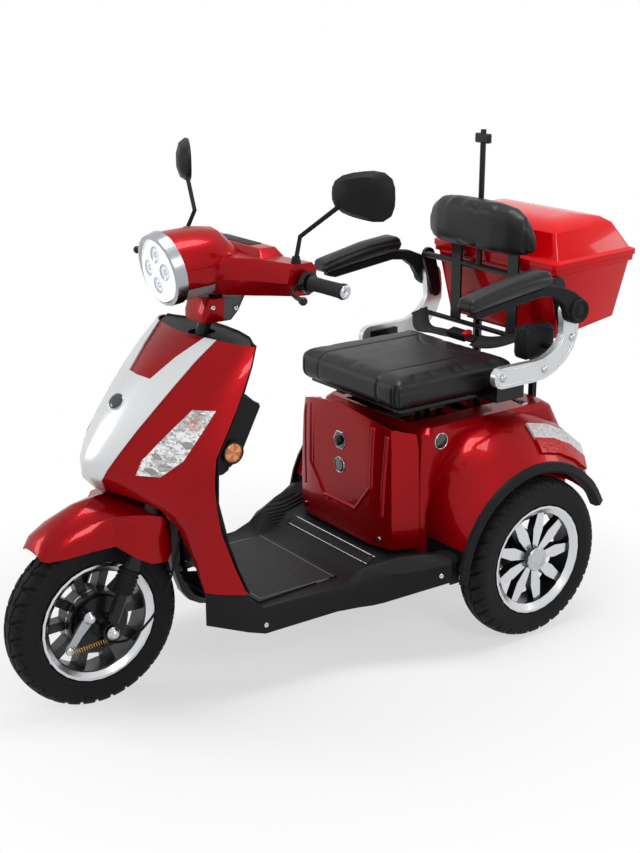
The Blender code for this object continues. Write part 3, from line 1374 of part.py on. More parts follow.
def make_backrest(reach):
    """The frame behind the pad: a lobe on each bracket, two cross bars, flat uprights and the staff."""
    lobe = plate(strip_outline(LOBE_LINE, (0.016, 0.019, 0.020), 5), 0.010, offset=reach - 0.005)
    upright_back = PAD_BACK + SEAT_GAP + 0.006
    upright_low = (PAD_BACK + SEAT_GAP, BELT_BAR_Z)
    outline = [upright_low, (PAD_BACK + SEAT_GAP, UPRIGHT_TOP), (upright_back, UPRIGHT_TOP)]
    outline.append((upright_back, BELT_BAR_Z))
    upright = plate(outline, UPRIGHT_WIDTH, offset=UPRIGHT_X)
    cross = Vector((reach - 0.005, CROSS_BAR_Y, CROSS_BAR_Z))
    belt = Vector((reach, BELT_BAR_Y, BELT_BAR_Z))
    pieces = [
        rod(SIDEWAYS @ cross, cross, CROSS_BAR_RADIUS),
        rod(SIDEWAYS @ belt, belt, BELT_BAR_RADIUS),
        rod((STAFF_X, CROSS_BAR_Y, CROSS_BAR_Z), (STAFF_X, CROSS_BAR_Y, STAFF_TOP), 0.0075),
        block((0.050, 0.016, 0.024), (STAFF_X, CROSS_BAR_Y, STAFF_TOP - 0.022), 0.003, 1),
    ]
    half = [lobe, upright]
    add_mesh("backrest_frame", union(pieces + half + [reflected(mesh) for mesh in half]), BLACK_STEEL, SEAT)
    rings = []
    for x, front, bottom, top in PAD_STATIONS:
        edge = min(0.016, (top - bottom) / 4)
        section = (
            (front, bottom + edge),
            (front, top - edge),
            (front + edge * 0.8, top - 0.002),
            (PAD_BACK - 0.010, top),
            (PAD_BACK, top - 0.010),
            (PAD_BACK, bottom + 0.008),
            (PAD_BACK - 0.010, bottom),
            (front + edge * 0.8, bottom + 0.002),
        )
        rings.append([(x, y, z) for y, z in section])
    add_mesh("backrest_pad", closed_loft(rings, mirror=True), LEATHER, SEAT)


ARM_OUTLINE = (
    # y, z round the arm, from its front end over the top
    (-0.180, 0.8471),
    (0.056, 0.8796),
    (0.100, 0.874),
    (0.150, 0.854),
    (0.178, 0.834),
    (0.192, 0.812),
    (0.186, 0.786),
    (0.160, 0.776),
    (0.136, 0.790),
    (0.112, 0.828),
    (0.080, 0.850),
    (0.038, 0.855),
    (-0.154, 0.830),
    (-0.178, 0.836),
)
ARM_PAD_OUTLINE = (
    (-0.198, 0.845),
    (-0.210, 0.859),
    (-0.202, 0.881),
    (-0.060, 0.912),
    (0.045, 0.923),
    (0.066, 0.905),
    (0.056, 0.880),
)


def make_armrests():
    arm = plate(ARM_OUTLINE, ARM_WIDTH, offset=ARM_X, bevel=0.003, segments=1)
    inner = BRACKET_X + BRACKET_THICKNESS / 2 + SEAT_GAP
    knob_ends = [Vector((x, ARM_PIVOT.y, ARM_PIVOT.z)) for x in (inner, ARM_X + 0.008)]
    knob = rod(*knob_ends, KNOB_RADIUS, sides=18)
    add_pair("armrest", union([arm, knob]), BLACK_PLASTIC, (ARM_LEFT, ARM_RIGHT))
    pad = plate(ARM_PAD_OUTLINE, PAD_WIDTH, offset=ARM_X, bevel=0.009, segments=2)
    add_pair("armrest_pad", pad, LEATHER, (ARM_LEFT, ARM_RIGHT))


def make_belt():
    """The belt's reel on the backrest's bar, and the strap from it to the buckle."""
    reel_x, half = 0.200, 0.026
    reel = block((2 * half, 0.104, 0.086), (reel_x, 0.113, 0.717), 0.016, 2)
    bar_room = rod((0.10, BELT_BAR_Y, BELT_BAR_Z), (0.26, BELT_BAR_Y, BELT_BAR_Z), BELT_BAR_RADIUS + SEAT_GAP)
    add_mesh("belt_retractor", cut(reel, [bar_room]), BLACK_PLASTIC, SEAT)
    end, tip = reel_x - half - SEAT_GAP, -0.060
    strap = block((end - tip, 0.003, 0.042), ((end + tip) / 2, 0.086, 0.705))
    buckle = block((0.080, 0.020, 0.050), (-0.035, 0.086, 0.703), 0.004, 1)
    add_mesh("seat_belt", union([strap, buckle]), WEBBING, SEAT)


# Top box with a lid hinged at its rear edge. The whole box rises a little to the rear.
def box_ring(half_x, front, rear, z, corner=BOX_CORNER):
    return rounded_ring(half_x, (rear - front) / 2, corner, (0, (rear + front) / 2), z)


def sloped(mesh):
    """The box piece sheared so that its rim rises to the rear."""
    shear = Matrix.Identity(4)
    shear[2][1] = BOX_RISE
    shear[2][3] = -BOX_FRONT * BOX_RISE
    mesh.transform(shear)
    return mesh


LID_RINGS = (
    # inset at the sides, in front, at the rear, and rise above the lid's edge
    (-0.010, -0.010, -0.012, 0.000),
    (-0.010, -0.010, -0.012, 0.014),
    (0.000, 0.002, 0.002, 0.020),
    (0.022, 0.012, 0.048, 0.086),
    (0.042, 0.030, 0.072, 0.102),
    (0.100, 0.080, 0.120, 0.109),
)


def tub_rings(inset, rim_height):
    """The tub's level sections, moved inwards by inset for the inner face."""
    floor = BOX_RIM_HEIGHT - BOX_DEPTH + inset
    foot = (BOX_HALF_WIDTH - 0.024 - inset, BOX_FRONT + 0.028 + inset, BOX_REAR - 0.020 - inset)
    low = []
    for x, y, _ in box_ring(*foot, 0):
        low.append((x, y, floor + (y - BOX_FRONT) * (BOX_FLOOR_SLOPE - BOX_RISE)))
    return [low, box_ring(BOX_HALF_WIDTH - inset, BOX_FRONT + inset, BOX_REAR - inset, rim_height)]


def make_box():
    rim = (BOX_HALF_WIDTH + 0.007, BOX_FRONT - 0.008, BOX_REAR + 0.008)
    rings = tub_rings(0.0, BOX_RIM_HEIGHT - 0.016)
    rings += [box_ring(*rim, BOX_RIM_HEIGHT - 0.012), box_ring(*rim, BOX_RIM_HEIGHT)]
    room = closed_loft(tub_rings(BOX_WALL, BOX_RIM_HEIGHT + 0.010))
    ears, lugs, bores = [], [], []
    for x in (HINGE_X, -HINGE_X):
        centre = Vector((x, LID_HINGE.y, LID_HINGE.z))
        pin, lug = Vector((0.029, 0, 0)), Vector((0.020, 0, 0))
        ears.append(rod(centre - pin, centre + pin, PIN_RADIUS))
        for end in (0.026, -0.026):
            ears.append(block((0.006, 0.024, 0.012), centre + Vector((end, -0.0065, -0.003))))
        lugs.append(rod(centre - lug, centre + lug, HINGE_RADIUS))
        lugs.append(block((0.040, 0.020, 0.007), centre + Vector((0, -0.009, 0.0095))))
        lugs.append(block((0.040, 0.005, 0.009), centre + Vector((0, 0, 0.0070))))
        bores.append(rod(centre - pin, centre + pin, PIN_RADIUS + SEAT_GAP))
    for x in (LATCH_X, -LATCH_X):
        ears.append(block((0.045, 0.018, 0.018), (x, BOX_FRONT - 0.001, BOX_RIM_HEIGHT - 0.019), 0.003, 1))
    tub = union([sloped(cut(closed_loft(rings), [room]))] + ears)
    add_mesh("box_tub", tub, PAINT_RED, VEHICLE)
    base = BOX_RIM_HEIGHT + FIT_GAP
    w = BOX_WALL
    rings = []
    inner_rings = [box_ring(BOX_HALF_WIDTH - w, BOX_FRONT + 0.002 + w, BOX_REAR - 0.002 - w, base - 0.01)]
    for side_in, front_in, rear_in, rise in LID_RINGS:
        size = (BOX_HALF_WIDTH - side_in, BOX_FRONT + front_in, BOX_REAR - rear_in)
        rings.append(box_ring(*size, base + rise))
    for side_in, front_in, rear_in, rise in LID_RINGS[2:]:
        size = (BOX_HALF_WIDTH - side_in - w, BOX_FRONT + front_in + w, BOX_REAR - rear_in - w)
        inner_rings.append(box_ring(*size, base + rise - w))
    shell = sloped(cut(closed_loft(rings), [closed_loft(inner_rings)]))
    add_mesh("box_lid", cut(union([shell] + lugs), bores), PAINT_RED, LID)


make_wheels()
make_fork()
make_mudguard()
make_brake()
make_head()
make_column_cover()
make_handlebar()
make_shield()
make_knee_panel()
make_deck()
make_battery_cover()
make_rear_body()
make_drive()
make_frame()
make_seat()
make_box()
for piece in PARTS.objects:
    if piece.type == "MESH":
        piece.data.shade_smooth()
        piece.data.set_sharp_from_angle(angle=math.radians(35))
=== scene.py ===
"""Looks of the electric tricycle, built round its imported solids.

Metres, +Z up. The vehicle faces -Y and its left side is +X. Y is given from the rear axle, and
place() moves it into the frame.
"""

import math

import bmesh
import bpy
import numpy as np
from mathutils import Euler, Matrix, Vector
from mathutils.bvhtree import BVHTree


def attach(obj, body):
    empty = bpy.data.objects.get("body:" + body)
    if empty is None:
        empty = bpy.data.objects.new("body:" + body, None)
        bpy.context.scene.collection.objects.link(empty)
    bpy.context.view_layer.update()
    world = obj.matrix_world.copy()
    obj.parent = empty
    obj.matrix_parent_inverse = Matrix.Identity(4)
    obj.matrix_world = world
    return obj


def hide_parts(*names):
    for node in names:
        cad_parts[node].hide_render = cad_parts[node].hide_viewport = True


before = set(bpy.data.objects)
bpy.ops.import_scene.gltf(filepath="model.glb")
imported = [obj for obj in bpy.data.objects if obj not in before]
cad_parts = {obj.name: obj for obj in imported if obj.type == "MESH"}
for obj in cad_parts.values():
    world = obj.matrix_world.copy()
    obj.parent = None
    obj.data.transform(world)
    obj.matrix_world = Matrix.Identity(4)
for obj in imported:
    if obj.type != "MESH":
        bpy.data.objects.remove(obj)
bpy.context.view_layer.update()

# Studio. A pale sweep of card under and behind the tricycle, three soft lamps round it and one
# overhead, and a camera in front and to the left of it, a little above the seat.
WHEELBASE = 1.046
TYRE_RADIUS = 0.206
BOX_REAR = 0.451
AXLE_TO_MIDDLE = (WHEELBASE + TYRE_RADIUS - BOX_REAR) / 2
CAMERA_PLACE = (2.6273, -2.3217, 1.5915)
CAMERA_AZIMUTH = math.radians(53.901)
CAMERA_ELEVATION = math.radians(17.974)
FOCAL_LENGTH = 58.87
SENSOR = 36.0
LAMP_AIM = (0, -0.5, 0.5)
LAMPS = (
    # place, size, power: key on the left front, fill on the right, one overhead, one behind
    ((3.2, -0.9, 2.3), (0.7, 1.1), 32.0),
    ((-2.2, -3.0, 1.6), (0.6, 1.4), 18.0),
    ((0.2, -0.3, 3.2), (0.9, 1.7), 50.0),
    ((1.4, 2.8, 2.0), (1.4, 0.7), 16.0),
)
WORLD_LIGHT = 0.26
WHITE = (1, 1, 1, 1)
CARD_HALF = 12.0
LIT_RADIUS = 0.55
WHITE_RADIUS = 1.15
SHADOW_WHITE = 0.58


def place(x, y, z):
    return Vector((x, y + AXLE_TO_MIDDLE, z))


def facing(obj, direction):
    """Turns a camera or a lamp to look along a direction."""
    obj.rotation_mode = "QUATERNION"
    obj.rotation_quaternion = direction.to_track_quat("-Z", "Y")


def added(name, data):
    """A new object in the scene with this data."""
    obj = bpy.data.objects.new(name, data)
    bpy.context.scene.collection.objects.link(obj)
    return obj


def colour(text):
    """An sRGB hex colour as linear numbers with full alpha."""
    parts = [int(text[i : i + 2], 16) / 255 for i in (1, 3, 5)]
    linear = [c / 12.92 if c <= 0.04045 else ((c + 0.055) / 1.055) ** 2.4 for c in parts]
    return (*linear, 1.0)


def node(tree, kind, inputs=None, **settings):
    """Adds a node, sets it up, and gives each named input its value or its link."""
    made = tree.nodes.new("ShaderNode" + kind)
    for name, value in settings.items():
        setattr(made, name, value)
    for name, value in (inputs or {}).items():
        if isinstance(value, bpy.types.NodeSocket):
            tree.links.new(value, made.inputs[name])
        else:
            made.inputs[name].default_value = value
    return made


def maths(tree, operation, *values):
    """The result of a sum on numbers and links."""
    return node(tree, "Math", dict(enumerate(values)), operation=operation).outputs[0]


def vectors(tree, operation, *values):
    """The same for vectors. A length or a distance comes out as a number."""
    made = node(tree, "VectorMath", dict(enumerate(values)), operation=operation)
    return made.outputs["Value" if operation in ("LENGTH", "DISTANCE") else 0]


def ranged(tree, value, low, high, start=0.0, end=1.0):
    """A value between start and end, moved to lie between low and high."""
    inputs = {"Value": value, "From Min": start, "From Max": end, "To Min": low, "To Max": high}
    return node(tree, "MapRange", inputs).outputs[0]


def in_view(tree):
    """1 for what the camera sees straight, in a reflection or through glass, and 0 for light."""
    ray = node(tree, "LightPath").outputs
    seen = maths(tree, "MAXIMUM", ray["Is Camera Ray"], ray["Is Glossy Ray"])
    return maths(tree, "MAXIMUM", seen, ray["Is Transmission Ray"])


def finish_named(name, base, roughness, metallic=0.0, coat=0.0, specular=0.5):
    """A material with the plain settings of its finish. Its node tree comes back with it."""
    made = bpy.data.materials.new(name)
    made.use_nodes = True
    for socket, value in (
        ("Base Color", colour(base)), ("Roughness", roughness), ("Metallic", metallic),
        ("Coat Weight", coat), ("Coat Roughness", 0.04), ("Specular IOR Level", specular),
    ):
        made.node_tree.nodes["Principled BSDF"].inputs[socket].default_value = value
    made.diffuse_color = colour(base)
    return made, made.node_tree


camera_data = bpy.data.cameras.new("camera")
camera_data.lens = FOCAL_LENGTH
camera_data.sensor_width = SENSOR
camera = added("camera", camera_data)
camera.location = place(*CAMERA_PLACE)
facing(camera, -Vector((
    math.sin(CAMERA_AZIMUTH) * math.cos(CAMERA_ELEVATION),
    -math.cos(CAMERA_AZIMUTH) * math.cos(CAMERA_ELEVATION),
    math.sin(CAMERA_ELEVATION),
)))
bpy.context.scene.camera = camera
bpy.context.scene.view_settings.view_transform = "Standard"

card_mesh = bpy.data.meshes.new("floor_card")
corners = [(CARD_HALF * x, CARD_HALF * y, 0) for x, y in ((-1, -1), (1, -1), (1, 1), (-1, 1))]
card_mesh.from_pydata(corners, [], [(0, 1, 2, 3)])
floor = added("floor_card", card_mesh)
card, tree = finish_named("white_card", "#F4F5F6", 0.9)
away = vectors(tree, "LENGTH", node(tree, "TexCoord").outputs["Object"])
open_floor = ranged(tree, away, SHADOW_WHITE, 1.0, LIT_RADIUS, WHITE_RADIUS)
share = maths(tree, "MULTIPLY", open_floor, in_view(tree))
glow = node(tree, "Emission", {"Color": WHITE, "Strength": 1.0})
plain = tree.nodes["Principled BSDF"].outputs[0]
mixed = node(tree, "MixShader", {0: share, 1: plain, 2: glow.outputs[0]})
tree.links.new(mixed.outputs[0], tree.nodes["Material Output"].inputs["Surface"])
floor.data.materials.append(card)

world = bpy.data.worlds.new("studio")
world.use_nodes = True
bpy.context.scene.world = world
sky = world.node_tree
sky.nodes.clear()
soft_light = node(sky, "Background", {"Color": WHITE, "Strength": WORLD_LIGHT})
white_view = node(sky, "Background", {"Color": WHITE, "Strength": 1.0})
mixed = node(sky, "MixShader", {
    0: in_view(sky), 1: soft_light.outputs[0], 2: white_view.outputs[0],
})
node(sky, "OutputWorld", {"Surface": mixed.outputs[0]})

for number, (spot, size, power) in enumerate(LAMPS):
    lamp = bpy.data.lights.new("softbox_%d" % number, "AREA")
    lamp.shape = "RECTANGLE"
    lamp.size, lamp.size_y = size
    lamp.energy = power
    holder = added("softbox_%d" % number, lamp)
    holder.location = place(*spot)
    facing(holder, place(*LAMP_AIM) - holder.location)

# Painted ABS panels. The body is moulded in ABS, with small sparkling flakes in a red base coat
# under clear lacquer. The shells are screwed to the frame and to each other.
FLAKE_SIZE = 0.0012
FLAKE_SHARE = 0.75
SHARP_ANGLE = math.radians(32)
WELD_DISTANCE = 0.00001


def texture(tree, kind, scale, inputs=None, **settings):
    """The outputs of a texture that runs through the piece, with scale repeats to a metre."""
    values = {"Scale": scale, **(inputs or {})}
    if "Vector" not in values:
        values["Vector"] = node(tree, "TexCoord").outputs["Object"]
    return node(tree, "Tex" + kind, values, **settings).outputs


def noise(tree, scale, detail=2.0):
    return texture(tree, "Noise", scale, {"Detail": detail})["Fac"]


def blend(tree, share, low, high):
    """A colour between two ends, each given as hex text or as a link."""
    low, high = (colour(end) if isinstance(end, str) else end for end in (low, high))
    mixed = node(tree, "Mix", {"Factor": share, 6: low, 7: high}, data_type="RGBA")
    return mixed.outputs[2]


def dress(tree, tone=None, rough=None, relief=None, metal=None):
    """Links patterns to the shader. A relief is a height, its strength and its depth in metres."""
    if relief is not None:
        inputs = dict(zip(("Height", "Strength", "Distance", "Normal"), relief))
        relief = node(tree, "Bump", inputs).outputs[0]
    sockets = {"Base Color": tone, "Roughness": rough, "Normal": relief, "Metallic": metal}
    for socket, source in sockets.items():
        if source is not None:
            tree.links.new(source, tree.nodes["Principled BSDF"].inputs[socket])


def unshaded(mesh):
    """Takes off the normals that came in with a CAD mesh."""
    custom = mesh.attributes.get("custom_normal")
    if custom is not None:
        mesh.attributes.remove(custom)


def part_material(material, *node_names):
    """Gives CAD nodes their finish, and shades them smooth between their real edges."""
    for node_name in node_names:
        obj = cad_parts[node_name]
        obj.data.materials.clear()
        obj.data.materials.append(material)
        unshaded(obj.data)
        obj.data.shade_smooth()
        obj.modifiers.new("weld", "WELD").merge_threshold = WELD_DISTANCE
        obj.modifiers.new("edges", "EDGE_SPLIT").split_angle = SHARP_ANGLE


candy_red, tree = finish_named("abs_candy_red_lacquered", "#93030D", 0.3, 0.45, 0.24, 0.05)
flakes = noise(tree, 1 / FLAKE_SIZE, 1.0)
spread = maths(tree, "MULTIPLY", flakes, FLAKE_SHARE)
amount = maths(tree, "MULTIPLY_ADD", noise(tree, 6.0), 1 - FLAKE_SHARE, spread)
dress(tree, blend(tree, amount, "#690007", "#C0010D"), ranged(tree, flakes, 0.24, 0.38, 0.3, 0.7))
part_material(candy_red, "leg_shield", "mudguard", "battery_cover", "rear_body")

# Top box. Its tub and lid are moulded in a plain, unmetallised red ABS with a high gloss, and the
# lid turns on pins at the tub's rear rim.
box_red, tree = finish_named("abs_plain_red_gloss", "#D0020E", 0.22, 0.0, 0.25, 0.1)
orange_peel = (noise(tree, 260.0, 1.0), 0.06, 0.0006)
dress(tree, blend(tree, noise(tree, 9.0, 3.0), "#C8010A", "#E20512"), relief=orange_peel)
part_material(box_red, "box_tub", "box_lid")

# Nose panel and seat brackets. The panel is ABS and the brackets are cast aluminium, both in a
# silver base coat that is a little duller than the red lacquer.
silver_paint, tree = finish_named("abs_silver_metallic", "#C6C8CB", 0.34, 0.75, 0.35)
dress(tree, blend(tree, noise(tree, 900.0, 1.0), "#BFC1C4", "#E4E6E7"))
part_material(silver_paint, "nose_panel", "seat_bracket_left", "seat_bracket_right")

# Black moulded plastic: unpainted polypropylene with a fine leather grain from the mould. It is
# used for the deck, the knee panel, the flares, the armrests, the mirrors and the belt's reel.
GRAIN_STRENGTH = 0.3
black_grain, tree = finish_named("polypropylene_black_grained", "#141416", 0.5, specular=0.15)
grain = texture(tree, "Voronoi", 520.0, feature="SMOOTH_F1")["Distance"]
scuff = noise(tree, 22.0, 4.0)
dress(
    tree, blend(tree, scuff, "#0E0E10", "#19191C"), ranged(tree, scuff, 0.42, 0.62),
    (grain, GRAIN_STRENGTH, 0.0008),
)
part_material(
    black_grain, "foot_deck", "knee_panel", "fender_flare_left", "fender_flare_right", "belt_retractor",
    "armrest_left", "armrest_right", "mirror_left", "mirror_right", "brake_cable", "battery_pack",
)

# Black steel: the frame, the fork and the running gear are powder coated, which leaves a slight
# orange peel and a soft gloss.
black_steel, tree = finish_named("steel_black_powder_coated", "#0B0B0D", 0.34, 0.0, 0.15, 0.2)
tone = blend(tree, noise(tree, 14.0, 3.0), "#0A0A0C", "#141417")
dress(tree, tone, relief=(noise(tree, 420.0), 0.12, 0.0005))
part_material(
    black_steel, "frame", "fork", "rear_axle", "brake_plate", "handlebar", "seat_base", "backrest_frame",
    "brake_lever_left", "brake_lever_right",
)

# Tyres. Moulded rubber with a road tread: slanted side blocks, a wavy groove on each side of the
# middle rib, and fine rings on the walls. Each is seated on its rim between the lips.
TYRE_STEPS = 480
TYRE_HALF_WIDTH = 0.042
TREAD_PITCHES = 32
GROOVE_DEPTH = 0.0055
SIPE_DEPTH = 0.0033
TREAD_SLANT = 0.62
# shares of the half width where blocks, sipes and the wavy groove run, and shares of one pitch
BLOCKS_FROM, SIPES_FROM, WAVE_MIDDLE, WAVE_SWING, WAVE_HALF = 0.34, 0.62, 0.26, 0.045, 0.045
SLOT_END, SIPE_START, SIPE_END = 0.2, 0.55, 0.64
TYRE_SECTION = (
    # radius, distance from the middle plane, share of the tread's depth
    (0.1405, 0.0335, 0), (0.144, 0.0385, 0), (0.15, 0.0404, 0), (0.158, 0.0411, 0),
    (0.159, 0.0405, 0), (0.16, 0.0411, 0), (0.17, 0.0418, 0), (0.178, 0.0418, 0),
    (0.184, 0.0412, 0.1), (0.189, 0.0398, 0.8), (0.1935, 0.0372, 1), (0.197, 0.0338, 1),
    (0.2, 0.0296, 1), (0.2022, 0.025, 1), (0.2038, 0.0202, 1), (0.2049, 0.0154, 1),
    (0.2055, 0.0118, 1), (0.2058, 0.009, 1), (0.206, 0.0045, 1), (0.206, 0.0, 1),
)
WHEELS = (
    ("front", (0.0, -WHEELBASE, TYRE_RADIUS), "front_wheel"),
    ("rear_left", (0.325, 0.0, TYRE_RADIUS), "rear_wheel_left"),
    ("rear_right", (-0.325, 0.0, TYRE_RADIUS), "rear_wheel_right"),
)


def add_piece(name, bm, material, body, replaces=(), smooth=True):
    """A new visible piece in the frame: its mesh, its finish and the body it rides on."""
    mesh = bpy.data.meshes.new(name)
    bmesh.ops.recalc_face_normals(bm, faces=bm.faces)
    bm.to_mesh(mesh)
    bm.free()
    mesh.materials.append(material)
    if smooth:
        mesh.shade_smooth()
    obj = added(name, mesh)
    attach(obj, body)
    if replaces:
        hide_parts(*replaces)
    return obj


def tread_depth(turn, aside):
    """Depth of the tread's grooves at a share of a turn and a distance from the middle plane."""
    along = turn * TREAD_PITCHES
    across = abs(aside) / TYRE_HALF_WIDTH
    hand = 0.5 if aside < 0 else 0.0
    slanted = (along + hand + TREAD_SLANT * across) % 1.0
    if across > BLOCKS_FROM and slanted < SLOT_END:
        return GROOVE_DEPTH
    if across > SIPES_FROM and SIPE_START < (along + hand - 0.5 * across) % 1.0 < SIPE_END:
        return SIPE_DEPTH
    wave = WAVE_MIDDLE + WAVE_SWING * math.sin(2 * math.pi * along)
    return GROOVE_DEPTH if abs(across - wave) < WAVE_HALF else 0.0


tyre_rubber, tree = finish_named("rubber_vulcanised", "#0F0F10", 0.62, specular=0.15)
tone = blend(tree, noise(tree, 30.0, 5.0), "#0C0C0D", "#1A1A1B")
dress(tree, tone, relief=(noise(tree, 900.0), 0.2, 0.0004))

section = list(TYRE_SECTION)
section += [(radius, -aside, share) for radius, aside, share in reversed(TYRE_SECTION[:-1])]
for name, hub, body in WHEELS:
    centre = place(*hub)
    bm = bmesh.new()
    rings = []
    for step in range(TYRE_STEPS):
        angle = 2 * math.pi * step / TYRE_STEPS
        outwards = Vector((0, math.cos(angle), math.sin(angle)))
        ring = []
        for radius, aside, share in section:
            deep = radius - share * tread_depth(step / TYRE_STEPS, aside)
            ring.append(bm.verts.new(centre + outwards * deep + Vector((aside, 0, 0))))
        rings.append(ring)
    for a, b in zip(rings, rings[1:] + rings[:1]):
        for i in range(len(section) - 1):
            bm.faces.new((a[i], a[i + 1], b[i + 1], b[i]))
        bm.faces.new((a[-1], a[0], b[0], b[-1]))
    tyre = add_piece(name + "_tyre_treaded", bm, tyre_rubber, body, (name + "_tyre",))
    tyre.modifiers.new("crisp", "EDGE_SPLIT").split_angle = SHARP_ANGLE

# Rims. Cast aluminium alloy. The front one has black spokes inside a polished lip. The rear ones
# have their spokes and lip turned bright, and black between them.
LIP_INNER_RADIUS = 0.1225
LATHE_LINES = 5200.0
SPOKE_FACE = 0.75


def rim_finish(name, hub, spokes_bright):
    """Bright where the lathe or the polish reached, and black lacquer elsewhere."""
    made, tree = finish_named(name, "#C9CBCE", 0.22, 1.0)
    where = node(tree, "TexCoord").outputs
    flat = vectors(tree, "MULTIPLY", vectors(tree, "SUBTRACT", where["Object"], place(*hub)), (0, 1, 1))
    radius = vectors(tree, "LENGTH", flat)
    bright = maths(tree, "GREATER_THAN", radius, LIP_INNER_RADIUS)
    if spokes_bright:
        normal = node(tree, "SeparateXYZ", {0: where["Normal"]})
        turned_face = maths(tree, "GREATER_THAN", maths(tree, "ABSOLUTE", normal.outputs["X"]), SPOKE_FACE)
        bright = maths(tree, "MAXIMUM", bright, turned_face)
    lines = maths(tree, "SINE", maths(tree, "MULTIPLY", radius, LATHE_LINES))
    tone = blend(tree, bright, "#151517", "#CFD1D4")
    dress(tree, tone, ranged(tree, bright, 0.32, 0.2), (lines, 0.04, 0.0002), bright)
    return made


for name, hub, body in WHEELS:
    part_material(rim_finish(name + "_alloy_cast", hub, name != "front"), name + "_rim")

# Seat cushion, backrest pad and arm pads. Foam in a sewn cover of black leatherette: seams along
# and across the cushion, side panels on the curved pad, a groove below the arm pads' rim.
SEAM_X = 0.118
SEAM_REAR_Y = -0.052
SEAM_REAR_CURVE = 4.0
SEAM_SIDE_Z = 0.652
CUSHION_TOP_EDGE = 0.655
PAD_PANEL_X = 0.172
PAD_MIDDLE_Z = 0.988
PAD_HALF_HEIGHT = 0.072
PAD_BOW = 0.006
ARM_RIM_DROP = 0.015
ARM_SLICES = 15
CORNER = (0.16, -0.285, 0.668)
SEAM_HALF_WIDTH = 0.0045
SEAM_DEPTH = 0.0022
SEAM_LINE = 0.0011
GATHER_DEPTH = 0.003
GATHERS_A_TURN = 16.0
FAR = 0.05
PRESSURE = 4.0
LAST_FRAME = 20
PROUD = 0.004


def moved(mesh, coordinates):
    mesh.vertices.foreach_set("co", np.asarray(coordinates, dtype=np.float32).ravel())
    mesh.update()


def points_of(mesh, kind="co"):
    values = np.empty(len(mesh.vertices) * 3, dtype=np.float32)
    mesh.vertices.foreach_get(kind, values)
    return values.reshape(-1, 3)


def modified(obj):
    """The object's mesh with its modifiers applied and taken off."""
    depsgraph = bpy.context.evaluated_depsgraph_get()
    made = bpy.data.meshes.new_from_object(obj.evaluated_get(depsgraph))
    obj.modifiers.clear()
    obj.data = made
    return made


def blown_cover(name, node_name, voxel, inset, cap, ease):
    """A pad's cover, blown up by pressure from a slightly smaller copy of its solid."""
    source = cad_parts[node_name]
    cover = added(name, source.data.copy())
    cover.matrix_world = source.matrix_world
    unshaded(cover.data)
    box_low = points_of(cover.data).min(axis=0)
    box_high = points_of(cover.data).max(axis=0)
    cells = cover.modifiers.new("cells", "REMESH")
    cells.mode = "VOXEL"
    cells.voxel_size = voxel
    mesh = modified(cover)
    start = points_of(mesh) - points_of(mesh, "normal") * inset
    moved(mesh, start)
    cloth = cover.modifiers.new("cover", "CLOTH")
    settings = cloth.settings
    settings.use_pressure = True
    settings.uniform_pressure_force = PRESSURE
    settings.effector_weights.gravity = 0.0
    settings.quality = 3
    cloth.collision_settings.use_collision = False
    cloth.point_cache.frame_start = 1
    cloth.point_cache.frame_end = LAST_FRAME
    for step in range(1, LAST_FRAME + 1):
        bpy.context.scene.frame_set(step)
    swelled = points_of(modified(cover))
    bpy.context.scene.frame_set(1)
    move = swelled - start
    length = np.linalg.norm(move, axis=1, keepdims=True)
    swelled = start + move * np.minimum(1.0, cap / np.maximum(length, 1e-9))
    moved(cover.data, np.clip(swelled, box_low - PROUD, box_high + PROUD))
    eased = cover.modifiers.new("eased", "SMOOTH")
    eased.factor = 0.5
    eased.iterations = ease
    cover.modifiers.new("finer", "SUBSURF").levels = 1
    modified(cover)
    return cover


def seamed(cover, distance, gather):
    """Presses the seams in and keeps each point's distance to them for the leatherette."""
    mesh = cover.data
    spots = points_of(mesh)
    normals = points_of(mesh, "normal")
    away = distance(spots, normals)
    depth = SEAM_DEPTH * np.exp(-((away / SEAM_HALF_WIDTH) ** 2)) + gather(spots)
    moved(mesh, spots - normals * depth[:, None])
    kept = mesh.attributes.new("seam", "FLOAT", "POINT")
    kept.data.foreach_set("value", away.astype(np.float32))
    mesh.shade_smooth()
    mesh.materials.clear()
    mesh.materials.append(leatherette)


def seat_seams(spots, normals):
    x, y, z = np.abs(spots[:, 0]), spots[:, 1] - AXLE_TO_MIDDLE, spots[:, 2]
    rear = SEAM_REAR_Y + SEAM_REAR_CURVE * x * x
    upper = normals[:, 2] > -0.5
    outer = normals[:, 0] ** 2 + np.maximum(normals[:, 1], 0) ** 2 > 0.3
    long_seams = np.where((y < rear + 0.002) & upper, np.abs(x - SEAM_X), FAR)
    on_top = (x < SEAM_X + 0.002) & (z > CUSHION_TOP_EDGE)
    rear_seam = np.where(on_top, np.abs(y - rear) * 0.9, FAR)
    side = np.where(outer, np.abs(z - SEAM_SIDE_Z), FAR)
    return np.minimum(np.minimum(long_seams, rear_seam), side)


def corner_gathers(spots):
    x, y, z = np.abs(spots[:, 0]), spots[:, 1] - AXLE_TO_MIDDLE, spots[:, 2]
    turn = np.arctan2(CORNER[1] - y, x - CORNER[0])
    corner = (x > CORNER[0] + 0.005) & (y < CORNER[1] - 0.005) & (z < CORNER[2])
    folds = np.maximum(0.0, np.cos(turn * GATHERS_A_TURN)) ** 2
    return np.where(corner, GATHER_DEPTH * folds * np.clip((CORNER[2] - z) / 0.02, 0, 1), 0.0)


def no_gather(spots):
    return np.zeros(len(spots))


def pad_seams(spots, normals):
    x, z = np.abs(spots[:, 0]), spots[:, 2]
    bow = PAD_PANEL_X + PAD_BOW * np.cos((z - PAD_MIDDLE_Z) / PAD_HALF_HEIGHT * 1.4)
    return np.where(normals[:, 1] < 0.5, np.abs(x - bow), FAR)


